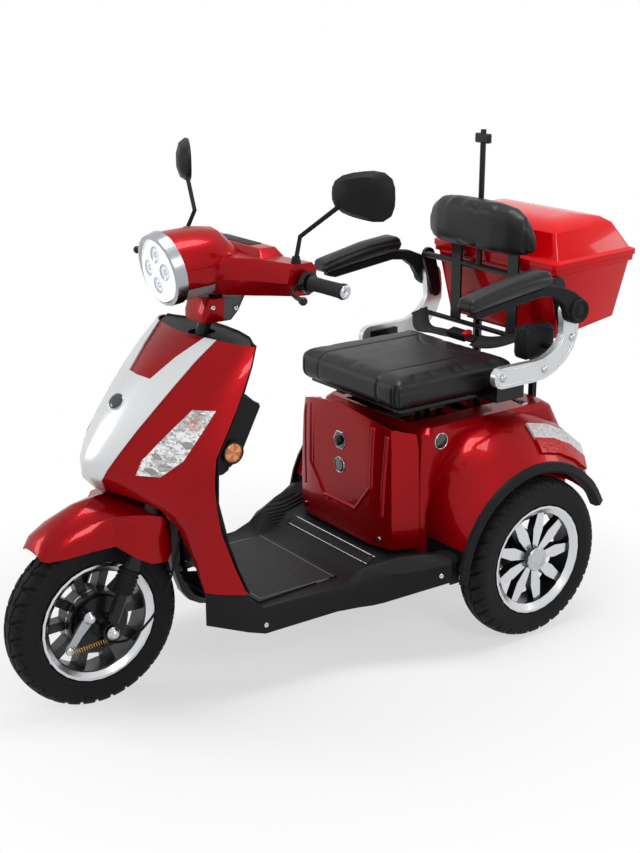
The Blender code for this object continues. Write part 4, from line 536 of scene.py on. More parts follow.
def arm_seams(spots, normals):
    y, z = spots[:, 1], spots[:, 2]
    edges = np.linspace(y.min(), y.max(), ARM_SLICES)
    tops = [z[(y >= a) & (y <= b)].max() for a, b in zip(edges, edges[1:])]
    top = np.interp(y, (edges[1:] + edges[:-1]) / 2, tops)
    return np.where(normals[:, 2] < 0.75, np.abs(z - top + ARM_RIM_DROP), FAR)


leatherette, tree = finish_named("leatherette_embossed_black", "#0D0D0F", 0.36, specular=0.32)
seam = node(tree, "Attribute", attribute_name="seam").outputs["Fac"]
hide = texture(tree, "Voronoi", 560.0, feature="SMOOTH_F1")["Distance"]
soft = noise(tree, 26.0, 3.0)
fold = ranged(tree, seam, 0.0, 1.0, end=SEAM_LINE)
dress(
    tree, blend(tree, fold, "#050506", blend(tree, soft, "#0A0A0C", "#131316")),
    ranged(tree, soft, 0.34, 0.48), (maths(tree, "MULTIPLY_ADD", hide, 0.35, fold), 0.35, 0.001),
)
for name, body, voxel, inset, cap, ease, seams, gather in (
    ("seat_cushion", "seat", 0.006, 0.003, 0.007, 3, seat_seams, corner_gathers),
    ("backrest_pad", "seat", 0.005, 0.003, 0.006, 14, pad_seams, no_gather),
    ("armrest_pad_left", "armrest_left", 0.004, 0.0015, 0.003, 7, arm_seams, no_gather),
    ("armrest_pad_right", "armrest_right", 0.004, 0.0015, 0.003, 7, arm_seams, no_gather),
):
    cover = blown_cover(name + "_sewn", name, voxel, inset, cap, ease)
    seamed(cover, seams, gather)
    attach(cover, body)
    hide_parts(name)

# Screws, bolts and nuts. Zinc-plated steel: socket heads along the deck's skirt and on the battery
# cover, domed bolts through the seat brackets, and nuts on the axles. Each is set on its panel.


def mm(*points):
    """Points given in millimetres, in metres."""
    return [tuple(value / 1000 for value in point) for point in points]


SOCKET_HEAD = mm((6, -1), (6.2, 1.6), (5.2, 3), (2.6, 3.4), (2.4, 1.6))
DOME_BOLT = mm((10, -1), (10, 1.2), (8.8, 3.4), (5.8, 5.2), (2, 6))
HEAD_STEPS = 18
BRACKET_BOLTS = ((-0.055, 0.662), (0.085, 0.662), (0.176, 0.73))
COVER_SCREW = (0.152, -0.3372, 0.273)
COVER_LEAN = 0.3
SIDES = (("left", 1), ("right", -1))


def landing(node_name, start, towards):
    """The point and outward direction where a line from start meets a CAD node."""
    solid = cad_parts[node_name]
    corners = [solid.matrix_world @ vert.co for vert in solid.data.vertices]
    tree = BVHTree.FromPolygons(corners, [tuple(face.vertices) for face in solid.data.polygons])
    direction = Vector(towards).normalized()
    spot, normal, _, _ = tree.ray_cast(place(*start), direction)
    return spot, normal if normal.dot(direction) < 0 else -normal


def turned(bm, spot, axis, profile, steps, ribs=0, rib_depth=0.0):
    """A turned shape on a spot. The profile runs outwards along the axis as (radius, height)."""
    turn = Vector(axis).to_track_quat("Z", "Y").to_matrix()
    rings = []
    for radius, height in profile:
        ring = []
        for step in range(steps):
            angle = 2 * math.pi * step / steps
            wide = radius + (rib_depth * math.cos(ribs * angle) if ribs else 0.0)
            local = Vector((wide * math.cos(angle), wide * math.sin(angle), height))
            ring.append(bm.verts.new(Vector(spot) + turn @ local))
        rings.append(ring)
    for a, b in zip(rings, rings[1:]):
        for i in range(steps):
            bm.faces.new((a[i], a[(i + 1) % steps], b[(i + 1) % steps], b[i]))
    bm.faces.new(rings[0][::-1])
    bm.faces.new(rings[-1])


def turned_piece(name, seats, profile, steps, material, body, smooth=True):
    """A piece of turned shapes, one on each seat, which is a spot and an axis."""
    bm = bmesh.new()
    for spot, axis in seats:
        turned(bm, spot, axis, profile, steps)
    add_piece(name, bm, material, body, smooth=smooth)


zinc, tree = finish_named("steel_zinc_plated", "#B9BCC0", 0.24, 1.0)
dress(tree, rough=ranged(tree, noise(tree, 300.0), 0.18, 0.34))
for name, node_name, body, head, starts, hands in (
    ("deck_screws", "foot_deck", "chassis", SOCKET_HEAD, ((-0.712, 0.172), (-0.284, 0.223)), (1, -1)),
    ("bracket_bolts_left", "seat_bracket_left", "seat", DOME_BOLT, BRACKET_BOLTS, (1,)),
    ("bracket_bolts_right", "seat_bracket_right", "seat", DOME_BOLT, BRACKET_BOLTS, (-1,)),
    ("column_screws", "column_cover", "steering", SOCKET_HEAD, ((-0.735, 0.888), (-0.675, 0.88)), (1, -1)),
):
    seats = [landing(node_name, (0.5 * side, y, z), (-side, 0, 0)) for side in hands for y, z in starts]
    turned_piece(name, seats, head, HEAD_STEPS, zinc, body)
x, y, z = COVER_SCREW
seats = [(place(x * side, y, z), (COVER_LEAN * side, -1, 0)) for _, side in SIDES]
turned_piece("cover_screws", seats, SOCKET_HEAD, HEAD_STEPS, zinc, "chassis")

# Hub caps. The rear hubs carry a polished cap each, with a bare raised disc in the middle. They
# are pressed into the rims and turn with them.
HUB_CAP = mm(
    (30, -3), (31.2, 1), (29.6, 3.4), (26.2, 4), (25, 3), (22.5, 3.4), (19, 6.2), (10, 7.4), (3, 7.6),
)
HUB_CAP_X = 0.3585
DISC_STEPS = 40
for side_name, side in SIDES:
    seats = [(place(HUB_CAP_X * side, 0, TYRE_RADIUS), (side, 0, 0))]
    name = "rear_%s_hub_cap" % side_name
    turned_piece(name, seats, HUB_CAP, DISC_STEPS, zinc, "rear_wheel_" + side_name)

# Badges. Round bare plates of black acrylic with a bright rim, where the maker's would be, on the
# nose panel, the battery cover and both body sides.
BADGE = mm((20.5, -1), (21, 1), (20.4, 2.2), (19, 2.4), (18.7, 1.6))
BADGE_FACE = mm((18.7, 0.8), (18.6, 1.8), (12, 2.3), (2, 2.4))
acrylic, tree = finish_named("acrylic_black_polished", "#08080A", 0.06, 0.0, 0.8)
dress(tree, rough=ranged(tree, noise(tree, 60.0), 0.05, 0.12))
for name, node_name, start, towards in (
    ("nose_badge", "nose_panel", (0.0, -1.5, 0.7), (0, 1, 0)),
    ("cover_badge", "battery_cover", (0.0, -0.8, 0.425), (0, 1, 0)),
    ("side_badge_left", "rear_body", (2.627, -2.322, 1.592), (-2.427, 2.135, -1.082)),
    ("side_badge_right", "rear_body", (-2.627, -2.322, 1.592), (2.427, 2.135, -1.082)),
):
    seats = [landing(node_name, start, towards)]
    turned_piece(name, seats, BADGE_FACE, DISC_STEPS, acrylic, "chassis")
    turned_piece(name + "_rim", seats, BADGE, DISC_STEPS, zinc, "chassis")

# Side reflectors. Amber acrylic pressed in eight fan-shaped fields, in a black moulded dish that is
# screwed to each side of the glove box. Every other field is painted lighter, and the small cells
# vary in tone, as painted reflection of the pressed prisms.
REFLECTOR_SPOT = (-0.783, 0.6)
REFLECTOR_FIELDS = 8
REFLECTOR_DISH = mm((25, -4), (26.2, 4), (26.2, 10.5), (24, 11.5), (22.2, 9.8))
REFLECTOR_FACE = mm((22.2, 4), (21.8, 10), (14, 10.8), (3, 11))


def axes(tree, space="Object", origin=None):
    """X, Y and Z over the piece or of its normal, counted from an origin if one is given."""
    where = node(tree, "TexCoord").outputs[space]
    if origin is not None:
        where = vectors(tree, "SUBTRACT", where, origin)
    return node(tree, "SeparateXYZ", {0: where}).outputs


def reflector(name, seats, glass):
    """A pressed acrylic disc in its black dish."""
    turned_piece(name + "_dish", seats, REFLECTOR_DISH, DISC_STEPS, black_grain, "chassis")
    turned_piece(name, seats, REFLECTOR_FACE, DISC_STEPS, glass, "chassis")


amber, tree = finish_named("acrylic_amber_pressed", "#D9701E", 0.16, 0.0, 0.9)
local = axes(tree, origin=place(0, *REFLECTOR_SPOT))
turn = maths(tree, "ARCTAN2", local["Y"], local["Z"])
fields = maths(tree, "MULTIPLY", turn, REFLECTOR_FIELDS / (2 * math.pi))
parity = maths(tree, "GREATER_THAN", maths(tree, "FLOORED_MODULO", fields, 2.0), 1.0)
cells = texture(tree, "Voronoi", 420.0)["Distance"]
# painted reflection: every other field lighter, with a cell pattern of lighter and darker prisms
painted_field_reflection = maths(tree, "MULTIPLY_ADD", cells, 0.4, parity)
pressed = (maths(tree, "FRACT", fields), 0.5, 0.0008)
dress(tree, blend(tree, painted_field_reflection, "#B9480C", "#F0933A"), relief=pressed)
for side_name, side in SIDES:
    seats = [landing("knee_panel", (0.6 * side, *REFLECTOR_SPOT), (-side, 0, 0))]
    reflector("side_reflector_" + side_name, seats, amber)

# Front signals. Clear polycarbonate over a vacuum-plated reflector cut in facets. Their light and
# dark turns are painted reflection in the colour, and the bulb shows amber through the upper part
# of the left one.
BULB = (0.176, -0.868, 0.675)
BULB_RADIUS = 0.008
BULB_GLOW_RADIUS = 0.024


def ramp(tree, value, *stops):
    """A colour from stops of (position, hex colour). The first stop stands at 0."""
    made = node(tree, "ValToRGB", {0: value})
    first, last = made.color_ramp.elements
    last.position = stops[-1][0]
    first.color, last.color = colour(stops[0][1]), colour(stops[-1][1])
    for position, shade in stops[1:-1]:
        made.color_ramp.elements.new(position).color = colour(shade)
    return made.outputs[0]


signal_glass, tree = finish_named("polycarbonate_over_plated_facets", "#DCDFE2", 0.1, 0.75, 1.0)
where = node(tree, "TexCoord").outputs["Object"]
stretch = node(tree, "Mapping", {
    "Vector": where, "Rotation": (0.5, 0.4, 0.2), "Scale": (1.0, 1.0, 1.6),
}).outputs[0]
facets = texture(tree, "Voronoi", 46.0, {"Vector": stretch})
fine = texture(tree, "Voronoi", 170.0, {"Vector": stretch})
first = node(tree, "SeparateColor", {0: facets["Color"]}).outputs
second = node(tree, "SeparateColor", {0: fine["Color"]}).outputs
# painted reflection: each facet gets a light or dark tone in the colour, for what it would mirror
painted_reflection_share = maths(tree, "MULTIPLY", first[0], second[1])
glint = ramp(tree, painted_reflection_share, (0.0, "#8F8C86"), (0.12, "#B9BBBB"), (0.45, "#F2F3F4"))
warm = ranged(tree, vectors(tree, "DISTANCE", where, place(*BULB)), 0.55, 0.0, BULB_RADIUS, BULB_GLOW_RADIUS)
steps = (maths(tree, "ADD", facets["Distance"], second[0]), 0.7, 0.003)
dress(tree, blend(tree, warm, glint, "#B4632A"), relief=steps)
part_material(signal_glass, "signal_lamp_left", "signal_lamp_right")

# Tail lamps. One acrylic lens with a clear upper field and a red lower one, ribbed inside. Two red
# reflectors stand lower down on the body's rear wall.
TAIL_SPLIT = 0.302
REAR_REFLECTOR = (0.316, 0.33)
tail_glass, tree = finish_named("acrylic_two_tone_ribbed", "#B8060C", 0.16, 0.0, 0.15, 0.1)
upper = maths(tree, "LESS_THAN", maths(tree, "ABSOLUTE", axes(tree)["X"]), TAIL_SPLIT)
ribs = texture(tree, "Voronoi", 110.0, distance="CHEBYCHEV")["Distance"]
pale = blend(tree, ribs, "#F1F2F3", "#A9A3A2")
deep = blend(tree, ribs, "#D60109", "#8C0006")
dress(tree, blend(tree, upper, deep, pale), relief=(ribs, 0.4, 0.002))
part_material(tail_glass, "tail_lamp_left", "tail_lamp_right")
for side_name, side in SIDES:
    x, z = REAR_REFLECTOR
    seats = [landing("rear_body", (x * side, 0.6, z), (0, -1, 0))]
    reflector("rear_reflector_" + side_name, seats, tail_glass)

# Headlamp. Four round reflectors behind a clear domed glass, lit white, in a satin grey bezel. The
# light comes from the glowing face alone. The light and dark rings in each reflector are painted
# reflection and shade, in both its colour and its glow.
LAMP_CENTRE = (0.0, -0.842, 0.979)
LAMP_TILT = math.radians(5.7)
LAMP_RADIUS = 0.0725
LAMP_DOME = 0.006
LAMP_BACK = 0.01
LAMP_GLOW = 0.55
LOBE_OFFSET = 0.034
LOBE_RADIUS = 0.0185
LOBE_DEPTH = 0.004
LAMP_RINGS = 34
LAMP_STEPS = 96
lobes = ((0.0, LOBE_OFFSET), (LOBE_OFFSET, 0.0), (0.0, -LOBE_OFFSET), (-LOBE_OFFSET, 0.0))
lamp_axis = Vector((0, -math.cos(LAMP_TILT), -math.sin(LAMP_TILT)))
lamp_up = Vector((0, -math.sin(LAMP_TILT), math.cos(LAMP_TILT)))
lit_face, tree = finish_named("polycarbonate_lit_white", "#F4F7FA", 0.08, 0.0, 1.0)
# painted reflection and shade: rings of light and dark round each reflector, in the colour and the glow
painted_reflector_rings = ramp(
    tree, node(tree, "Attribute", attribute_name="lobe").outputs["Fac"],
    (0.0, "#FFFFFF"), (0.28, "#8E96A4"), (0.5, "#E8EEF6"), (0.8, "#B5BCC8"), (0.95, "#6F7682"),
    (0.99, "#E3E8EE"), (1.0, "#FFFFFF"),
)
dress(tree, painted_reflector_rings)
lit = tree.nodes["Principled BSDF"].inputs
tree.links.new(painted_reflector_rings, lit["Emission Color"])
lit["Emission Strength"].default_value = LAMP_GLOW
bm = bmesh.new()
lobe_layer = bm.verts.layers.float.new("lobe")
rows = []
for ring in range(LAMP_RINGS + 1):
    row = []
    for step in range(LAMP_STEPS):
        radius = LAMP_RADIUS * ring / LAMP_RINGS
        angle = 2 * math.pi * step / LAMP_STEPS
        aside, up = radius * math.cos(angle), radius * math.sin(angle)
        share = min(1.0, min(math.hypot(aside - a, up - b) for a, b in lobes) / LOBE_RADIUS)
        out = LAMP_DOME * (1 - (radius / LAMP_RADIUS) ** 2) - LOBE_DEPTH * (1 - share * share)
        vert = bm.verts.new(place(*LAMP_CENTRE) + lamp_axis * out + lamp_up * up + Vector((aside, 0, 0)))
        vert[lobe_layer] = share
        row.append(vert)
    rows.append(row)
for a, b in zip(rows, rows[1:]):
    for i in range(LAMP_STEPS):
        j = (i + 1) % LAMP_STEPS
        bm.faces.new((a[i], b[i], b[j], a[j]))
bmesh.ops.remove_doubles(bm, verts=bm.verts, dist=WELD_DISTANCE)
back = bmesh.ops.extrude_edge_only(bm, edges=[edge for edge in bm.edges if edge.is_boundary])
back_verts = [v for v in back["geom"] if isinstance(v, bmesh.types.BMVert)]
bmesh.ops.translate(bm, verts=back_verts, vec=-lamp_axis * LAMP_BACK)
bmesh.ops.holes_fill(bm, edges=[edge for edge in bm.edges if edge.is_boundary])
add_piece("headlamp_lit_face", bm, lit_face, "steering", ("headlamp_lens",))
satin, tree = finish_named("aluminium_satin_anodised", "#A4A7AB", 0.26, 1.0)
dress(tree, rough=ranged(tree, noise(tree, 30.0, 3.0), 0.2, 0.28))
part_material(satin, "headlamp_bezel", "brake_arm")

# Battery cover. Its pressed ridges run down both sides and round a six-sided field. The key switch
# sits in a hexagonal plate in that field, and a rubber-lipped strip closes the gap at its foot.
RIDGE_HALF = 0.0065
RIDGE_HEIGHT = 0.0036
RIDGE_SPACING = 0.006
RIDGES = (
    ((-0.128, 0.555), (-0.126, 0.402), (-0.066, 0.328), (0.066, 0.328), (0.126, 0.402), (0.128, 0.555)),
    ((0.167, 0.54), (0.158, 0.33)),
    ((-0.167, 0.54), (-0.158, 0.33)),
)


def evenly(points, spacing):
    """Points at an even spacing along a line through the given corners."""
    corners = [Vector(point) for point in points]
    made = []
    for a, b in zip(corners, corners[1:]):
        count = max(1, round((b - a).length / spacing))
        made += [a.lerp(b, i / count) for i in range(count)]
    return made + [corners[-1]]


def swept(bm, path, ups, section, closed=False):
    """Sweeps a section of (aside, up) points along a path. Each up vector points off its surface."""
    rings = []
    last = len(path) - 1
    for i, (spot, up) in enumerate(zip(path, ups)):
        before = path[i - 1] if i or closed else path[0]
        after = path[(i + 1) % len(path)] if i < last or closed else path[last]
        along = (after - before).normalized()
        aside = along.cross(up).normalized()
        rings.append([bm.verts.new(spot + aside * a + up * b) for a, b in section])
    pairs = list(zip(rings, rings[1:])) + ([(rings[-1], rings[0])] if closed else [])
    for a, b in pairs:
        for i in range(len(section)):
            j = (i + 1) % len(section)
            bm.faces.new((a[i], a[j], b[j], b[i]))
    if not closed:
        bm.faces.new(rings[0][::-1])
        bm.faces.new(rings[-1])


def swept_piece(name, path, ups, section, material, body, slot, replaces=(), closed=False):
    """A piece swept along one path."""
    bm = bmesh.new()
    swept(bm, path, ups, section, closed)
    add_piece(name, bm, material, body, replaces)


ridge_section = (
    (-RIDGE_HALF, -0.002), (-RIDGE_HALF, 0.0), (-RIDGE_HALF * 0.5, RIDGE_HEIGHT * 0.7), (0.0, RIDGE_HEIGHT),
    (RIDGE_HALF * 0.5, RIDGE_HEIGHT * 0.7), (RIDGE_HALF, 0.0), (RIDGE_HALF, -0.002),
)
bm = bmesh.new()
for corners in RIDGES:
    spots = [landing("battery_cover", (p.x, -0.8, p.y), (0, 1, 0)) for p in evenly(corners, RIDGE_SPACING)]
    swept(bm, *zip(*spots), ridge_section)
add_piece("battery_cover_ridges", bm, candy_red, "chassis")

KEY_SPOT = (0.0, -0.8, 0.49)
KEY_PLATE = mm((23.5, -2), (23.5, 2), (21.5, 3.4))
KEY_FRAME = mm((26.2, -2), (26.2, 1.2), (25, 1.8))
KEY_BARREL = mm((12.5, 0), (12.5, 8.5), (10.5, 11), (3, 11.4))
for name, profile, steps, material, slot in (
    ("key_switch_frame", KEY_FRAME, 6, zinc, "chrome"),
    ("key_switch_plate", KEY_PLATE, 6, acrylic, "plastic_black"),
    ("key_switch_barrel", KEY_BARREL, 28, black_steel, "steel_black"),
):
    seats = [landing("battery_cover", KEY_SPOT, (0, 1, 0))]
    turned_piece(name, seats, profile, steps, material, "chassis", smooth=steps > 6)

STRIP_Y = -0.378
STRIP_HALF_LENGTH = 0.172
STRIP_HALF_WIDTH = 0.0125
FOOT_STRIP = (
    (-STRIP_HALF_WIDTH, -0.003), (-STRIP_HALF_WIDTH, 0.0016), (-0.01, 0.0024), (0.01, 0.0024),
    (STRIP_HALF_WIDTH, 0.0016), (STRIP_HALF_WIDTH, -0.003),
)
STRIP_EDGE = mm((-1, -1), (-1, 3), (1, 3), (1, -1))
for name, offset, section, material, slot in (
    ("foot_strip", 0.0, FOOT_STRIP, black_grain, "plastic_black"),
    ("foot_strip_edge_front", -STRIP_HALF_WIDTH, STRIP_EDGE, zinc, "chrome"),
    ("foot_strip_edge_rear", STRIP_HALF_WIDTH, STRIP_EDGE, zinc, "chrome"),
):
    ends = ((-STRIP_HALF_LENGTH, STRIP_Y + offset), (STRIP_HALF_LENGTH, STRIP_Y + offset))
    spots = [landing("foot_deck", (p.x, p.y, 0.6), (0, 0, -1)) for p in evenly(ends, 0.02)]
    swept_piece(name, *zip(*spots), section, material, "chassis", slot)

# Foot mat. Black rubber pressed with herringbone ribs, inside a raised pale edge line. It lies
# loose in the deck's tray.
MAT_MIDDLE = (0.0, -0.588, 0.2144)
MAT_HALF = (0.16, 0.106)
MAT_LINE_HALF = 0.0013
CHEVRON_WIDTH = 0.034
RIB_PITCH = 0.0085
mat_rubber, tree = finish_named("rubber_pressed_herringbone", "#131314", 0.55, specular=0.25)
local = axes(tree, origin=place(*MAT_MIDDLE))
zigzag = maths(tree, "PINGPONG", local["X"], CHEVRON_WIDTH)
phase = maths(tree, "MULTIPLY", maths(tree, "ADD", local["Y"], zigzag), 2 * math.pi / RIB_PITCH)
rib = ranged(tree, maths(tree, "SINE", phase), 0.0, 1.0, -0.35, 0.35)
past_x = maths(tree, "SUBTRACT", maths(tree, "ABSOLUTE", local["X"]), MAT_HALF[0])
past_y = maths(tree, "SUBTRACT", maths(tree, "ABSOLUTE", local["Y"]), MAT_HALF[1])
past = maths(tree, "MAXIMUM", past_x, past_y)
line = maths(tree, "LESS_THAN", maths(tree, "ABSOLUTE", past), MAT_LINE_HALF)
ribs = maths(tree, "MULTIPLY", rib, maths(tree, "LESS_THAN", past, 0.0))
# the rubber is drawn lighter on the rib crests and darker between the ribs
rib_crest_tone = blend(tree, ribs, "#0E0E0F", "#2A2A2C")
pressed = (maths(tree, "MULTIPLY_ADD", line, 1.5, ribs), 0.9, 0.0022)
dress(tree, blend(tree, line, rib_crest_tone, "#77797B"), relief=pressed)
part_material(mat_rubber, "foot_mat")

# Grips. Soft rubber sleeves with lengthways ribs between two collars, pushed on to the bar, and a
# turned aluminium weight in each end.
GRIP_LENGTH = 0.0985
GRIP_PROFILE = mm(
    (17.2, 0), (17.8, 2), (17.8, 6), (16.4, 8.5), (15.2, 12), (14.8, 30), (15, 60), (15.4, 80),
    (16.4, 86), (17.2, 89), (17.2, 92.5), (16, 94),
)
GRIP_CAP = mm((14.5, 92), (15, 96), (14.2, 98.5), (10.5, 99.6), (6, 98.5), (5, 96))
GRIP_RIBS = 26
GRIP_STEPS = 104
GRIP_RIB_DEPTH = 0.0005
grip_rubber, tree = finish_named("rubber_soft_ribbed", "#111112", 0.55, specular=0.3)
dress(tree, relief=(texture(tree, "Voronoi", 420.0)["Distance"], 0.4, 0.0008))
for name in ("grip_left", "grip_right"):
    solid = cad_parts[name]
    corners = np.array([solid.matrix_world @ vert.co for vert in solid.data.vertices])
    middle = Vector(corners.mean(axis=0))
    along = Vector(np.linalg.svd(corners - corners.mean(axis=0))[2][0])
    along = along if along.x * middle.x > 0 else -along
    start = middle - along * min(0.5 * GRIP_LENGTH, max((Vector(c) - middle).dot(-along) for c in corners))
    bm = bmesh.new()
    turned(bm, start, along, GRIP_PROFILE, GRIP_STEPS, GRIP_RIBS, GRIP_RIB_DEPTH)
    add_piece(name + "_ribbed", bm, grip_rubber, "steering", (name,))
    turned_piece(name + "_end_weight", [(start, along)], GRIP_CAP, 32, zinc, "steering")

# Mirrors. Black grained shells with a flat silvered glass towards the rider, each on a bent stalk
# that is clamped to the bar.
GLASS_FACING = 0.86


def variant(material, name):
    """A copy of a finish, with its tree and what its shader's inputs come from."""
    made = material.copy()
    made.name = name
    tree = made.node_tree
    links = [link for link in tree.links if link.to_node.type == "BSDF_PRINCIPLED"]
    return made, tree, {link.to_socket.name: link.from_socket for link in links}


mirror_shell, tree, old = variant(black_grain, "polypropylene_shell_with_silvered_glass")
glass = maths(tree, "GREATER_THAN", axes(tree, "Normal")["Y"], GLASS_FACING)
rough = node(tree, "Mix", {"Factor": glass, 2: old["Roughness"], 3: 0.03}, data_type="FLOAT")
dress(tree, blend(tree, glass, old["Base Color"], "#C9CED3"), rough.outputs[0], metal=glass)
tree.links.new(ranged(tree, glass, GRAIN_STRENGTH, 0.0), old["Normal"].node.inputs["Strength"])
for name in ("mirror_left", "mirror_right"):
    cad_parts[name].data.materials[0] = mirror_shell

# Head and column covers. The red shells close on grey inner mouldings: the tray under the bar, and
# the rear half of the column cover.
for node_name, axis, compare, limit, space, shade in (
    ("head_cover", "Z", "LESS_THAN", -0.55, "Normal", "#A6A8AB"),
    ("column_cover", "Y", "GREATER_THAN", AXLE_TO_MIDDLE - 0.705, "Object", "#4C4E52"),
):
    two_tone, tree, old = variant(candy_red, "abs_candy_red_with_grey_" + node_name)
    grey = maths(tree, compare, axes(tree, space)[axis], limit)
    dress(tree, blend(tree, grey, old["Base Color"], shade))
    part_material(two_tone, node_name)

# Dash. A low raised housing of the same red moulding on the bar's cover, with a dark display on
# its crest.
DASH_FOOT = ((0.148, -0.672), (0.148, -0.606))
DASH_CREST = ((0.118, -0.656), (0.12, -0.614))
DASH_Z = (1.002, 1.023)
GLASS_FOOT = ((0.072, -0.652), (0.072, -0.618))
GLASS_Z = (1.018, 1.0245)
EDGE_ROUNDING = 0.6


def rounded(bm, edge):
    """Rounds every edge of a block."""
    geometry = bm.edges[:] + bm.verts[:]
    bmesh.ops.bevel(bm, geom=geometry, offset=edge, segments=3, affect="EDGES", profile=EDGE_ROUNDING)


def wedge(foot, crest, low, high, edge):
    """A four-sided housing, narrower at the top, with rounded edges."""
    bm = bmesh.new()
    corners = []
    for (front, rear), z in ((foot, low), (crest, high)):
        ring = [(-front[0], front[1]), (front[0], front[1]), (rear[0], rear[1]), (-rear[0], rear[1])]
        corners.append([bm.verts.new(place(x, y, z)) for x, y in ring])
    bm.faces.new(corners[0][::-1])
    bm.faces.new(corners[1])
    for i in range(4):
        j = (i + 1) % 4
        bm.faces.new((corners[0][i], corners[0][j], corners[1][j], corners[1][i]))
    rounded(bm, edge)
    return bm


housing = wedge(DASH_FOOT, DASH_CREST, *DASH_Z, 0.004)
add_piece("dash_housing", housing, candy_red, "steering")
display = wedge(GLASS_FOOT, GLASS_FOOT, *GLASS_Z, 0.0015)
add_piece("dash_glass", display, black_grain, "steering")

# Fork gaiters. Black rubber bellows that keep dirt off the sliding tubes, clipped on above the
# lower legs.
GAITER_X = 0.0836
GAITER_FOOT = (-1.011, 0.287)
GAITER_AXIS = (0.0, 0.41, 0.912)
GAITER_FOLDS = 6
GAITER_PITCH = 0.0095
FOLD_INNER, FOLD_OUTER = 0.0218, 0.0252
gaiter = [(0.0212, 0.0)]
for fold in range(GAITER_FOLDS):
    for radius, share in ((FOLD_OUTER, 0.35), (FOLD_OUTER, 0.6), (FOLD_INNER, 1.0)):
        gaiter.append((radius, (fold + share) * GAITER_PITCH))
for side_name, side in SIDES:
    seats = [(place(GAITER_X * side, *GAITER_FOOT), GAITER_AXIS)]
    turned_piece("fork_gaiter_" + side_name, seats, gaiter, 36, tyre_rubber, "steering")

# Foot deck. The inner faces of its two humps are pressed with fine level ribs for the heels, from
# the tray's level upwards.
HUMP_RIB_PITCH = 0.0065
HUMP_FOOT = 0.218
HUMP_FRONT = -0.42
deck_grain, tree, old = variant(black_grain, "polypropylene_black_grained_ribbed")
spot = axes(tree)
lean = axes(tree, "Normal")["X"]
ribbed = maths(tree, "GREATER_THAN", maths(tree, "ABSOLUTE", lean), 0.4)
for test in (
    maths(tree, "LESS_THAN", maths(tree, "MULTIPLY", lean, spot["X"]), 0.0),
    maths(tree, "GREATER_THAN", spot["Z"], HUMP_FOOT),
    maths(tree, "GREATER_THAN", spot["Y"], AXLE_TO_MIDDLE + HUMP_FRONT),
):
    ribbed = maths(tree, "MULTIPLY", ribbed, test)
wave = maths(tree, "SINE", maths(tree, "MULTIPLY", spot["Z"], 2 * math.pi / HUMP_RIB_PITCH))
dress(tree, relief=(maths(tree, "MULTIPLY", wave, ribbed), 0.8, 0.0016, old["Normal"]))
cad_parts["foot_deck"].data.materials[0] = deck_grain

# Splash guards. Flat black rubber plates close the gap between the deck's rear end and the lower
# edge of the body. They are held in the body's front wall on each side.
GUARD_MIDDLE = (0.28, -0.23045, 0.2595)
GUARD_SIZE = (0.1363, 0.0025, 0.047)
GUARD_TURN = 0.069


def moulded_piece(name, middle, size, turn, edge, material, body):
    """A small block with rounded edges."""
    bm = bmesh.new()
    bmesh.ops.create_cube(bm, size=1.0)
    bmesh.ops.scale(bm, vec=size, verts=bm.verts)
    rounded(bm, edge)
    matrix = Matrix.Translation(place(*middle)) @ Euler(turn).to_matrix().to_4x4()
    bmesh.ops.transform(bm, matrix=matrix, verts=bm.verts)
    add_piece(name, bm, material, body)


for side_name, side in SIDES:
    middle, turn = (GUARD_MIDDLE[0] * side, *GUARD_MIDDLE[1:]), (0, 0, GUARD_TURN * side)
    name = "splash_guard_" + side_name
    moulded_piece(name, middle, GUARD_SIZE, turn, 0.0008, black_grain, "chassis")

# Seat belt. Black woven webbing from the reel on the left and from the right side bar, and a moulded
# buckle with a red button between them. The weave is drawn at twice its real 1.5 mm pitch.
WEB_HALF_WIDTH = 0.023
WEB_HALF_THICK = 0.0009
WEAVE_LINES = 105.0
RIGHT_WEB = mm(
    (-232, 100, 716), (-214, 90, 708), (-190, 70, 696), (-160, 52, 689), (-130, 44, 689), (-100, 46, 693),
    (-70, 52, 692), (-45, 56, 693),
)
LEFT_WEB = mm(
    (36, 62, 692), (60, 66, 690), (90, 74, 694), (120, 84, 703), (150, 96, 716), (178, 106, 726),
)
BUCKLE_TURN = (0.22, 0.05, 0.12)
webbing, tree = finish_named("polyester_webbing_woven", "#121214", 0.72, specular=0.3)
weave = texture(tree, "Wave", WEAVE_LINES, {"Distortion": 1.0}, bands_direction="DIAGONAL")["Fac"]
dress(tree, blend(tree, weave, "#0B0B0C", "#1F1F22"), relief=(weave, 0.5, 0.0008))
web_section = [(a * WEB_HALF_WIDTH, b * WEB_HALF_THICK) for a, b in ((-1, -1), (-1, 1), (1, 1), (1, -1))]
for name, route, replaced in (
    ("belt_webbing_right", RIGHT_WEB, ("seat_belt",)),
    ("belt_webbing_left", LEFT_WEB, ()),
):
    path = [place(*point) for point in route]
    for _ in range(2):
        finer = [path[0]]
        for a, b in zip(path, path[1:]):
            finer += [a.lerp(b, 0.25), a.lerp(b, 0.75)]
        path = finer + [path[-1]]
    ups = [Vector((0, -0.35 - 0.25 * math.sin(18.0 * spot.x), 1)).normalized() for spot in path]
    swept_piece(name, path, ups, web_section, webbing, "seat", "webbing", replaced)

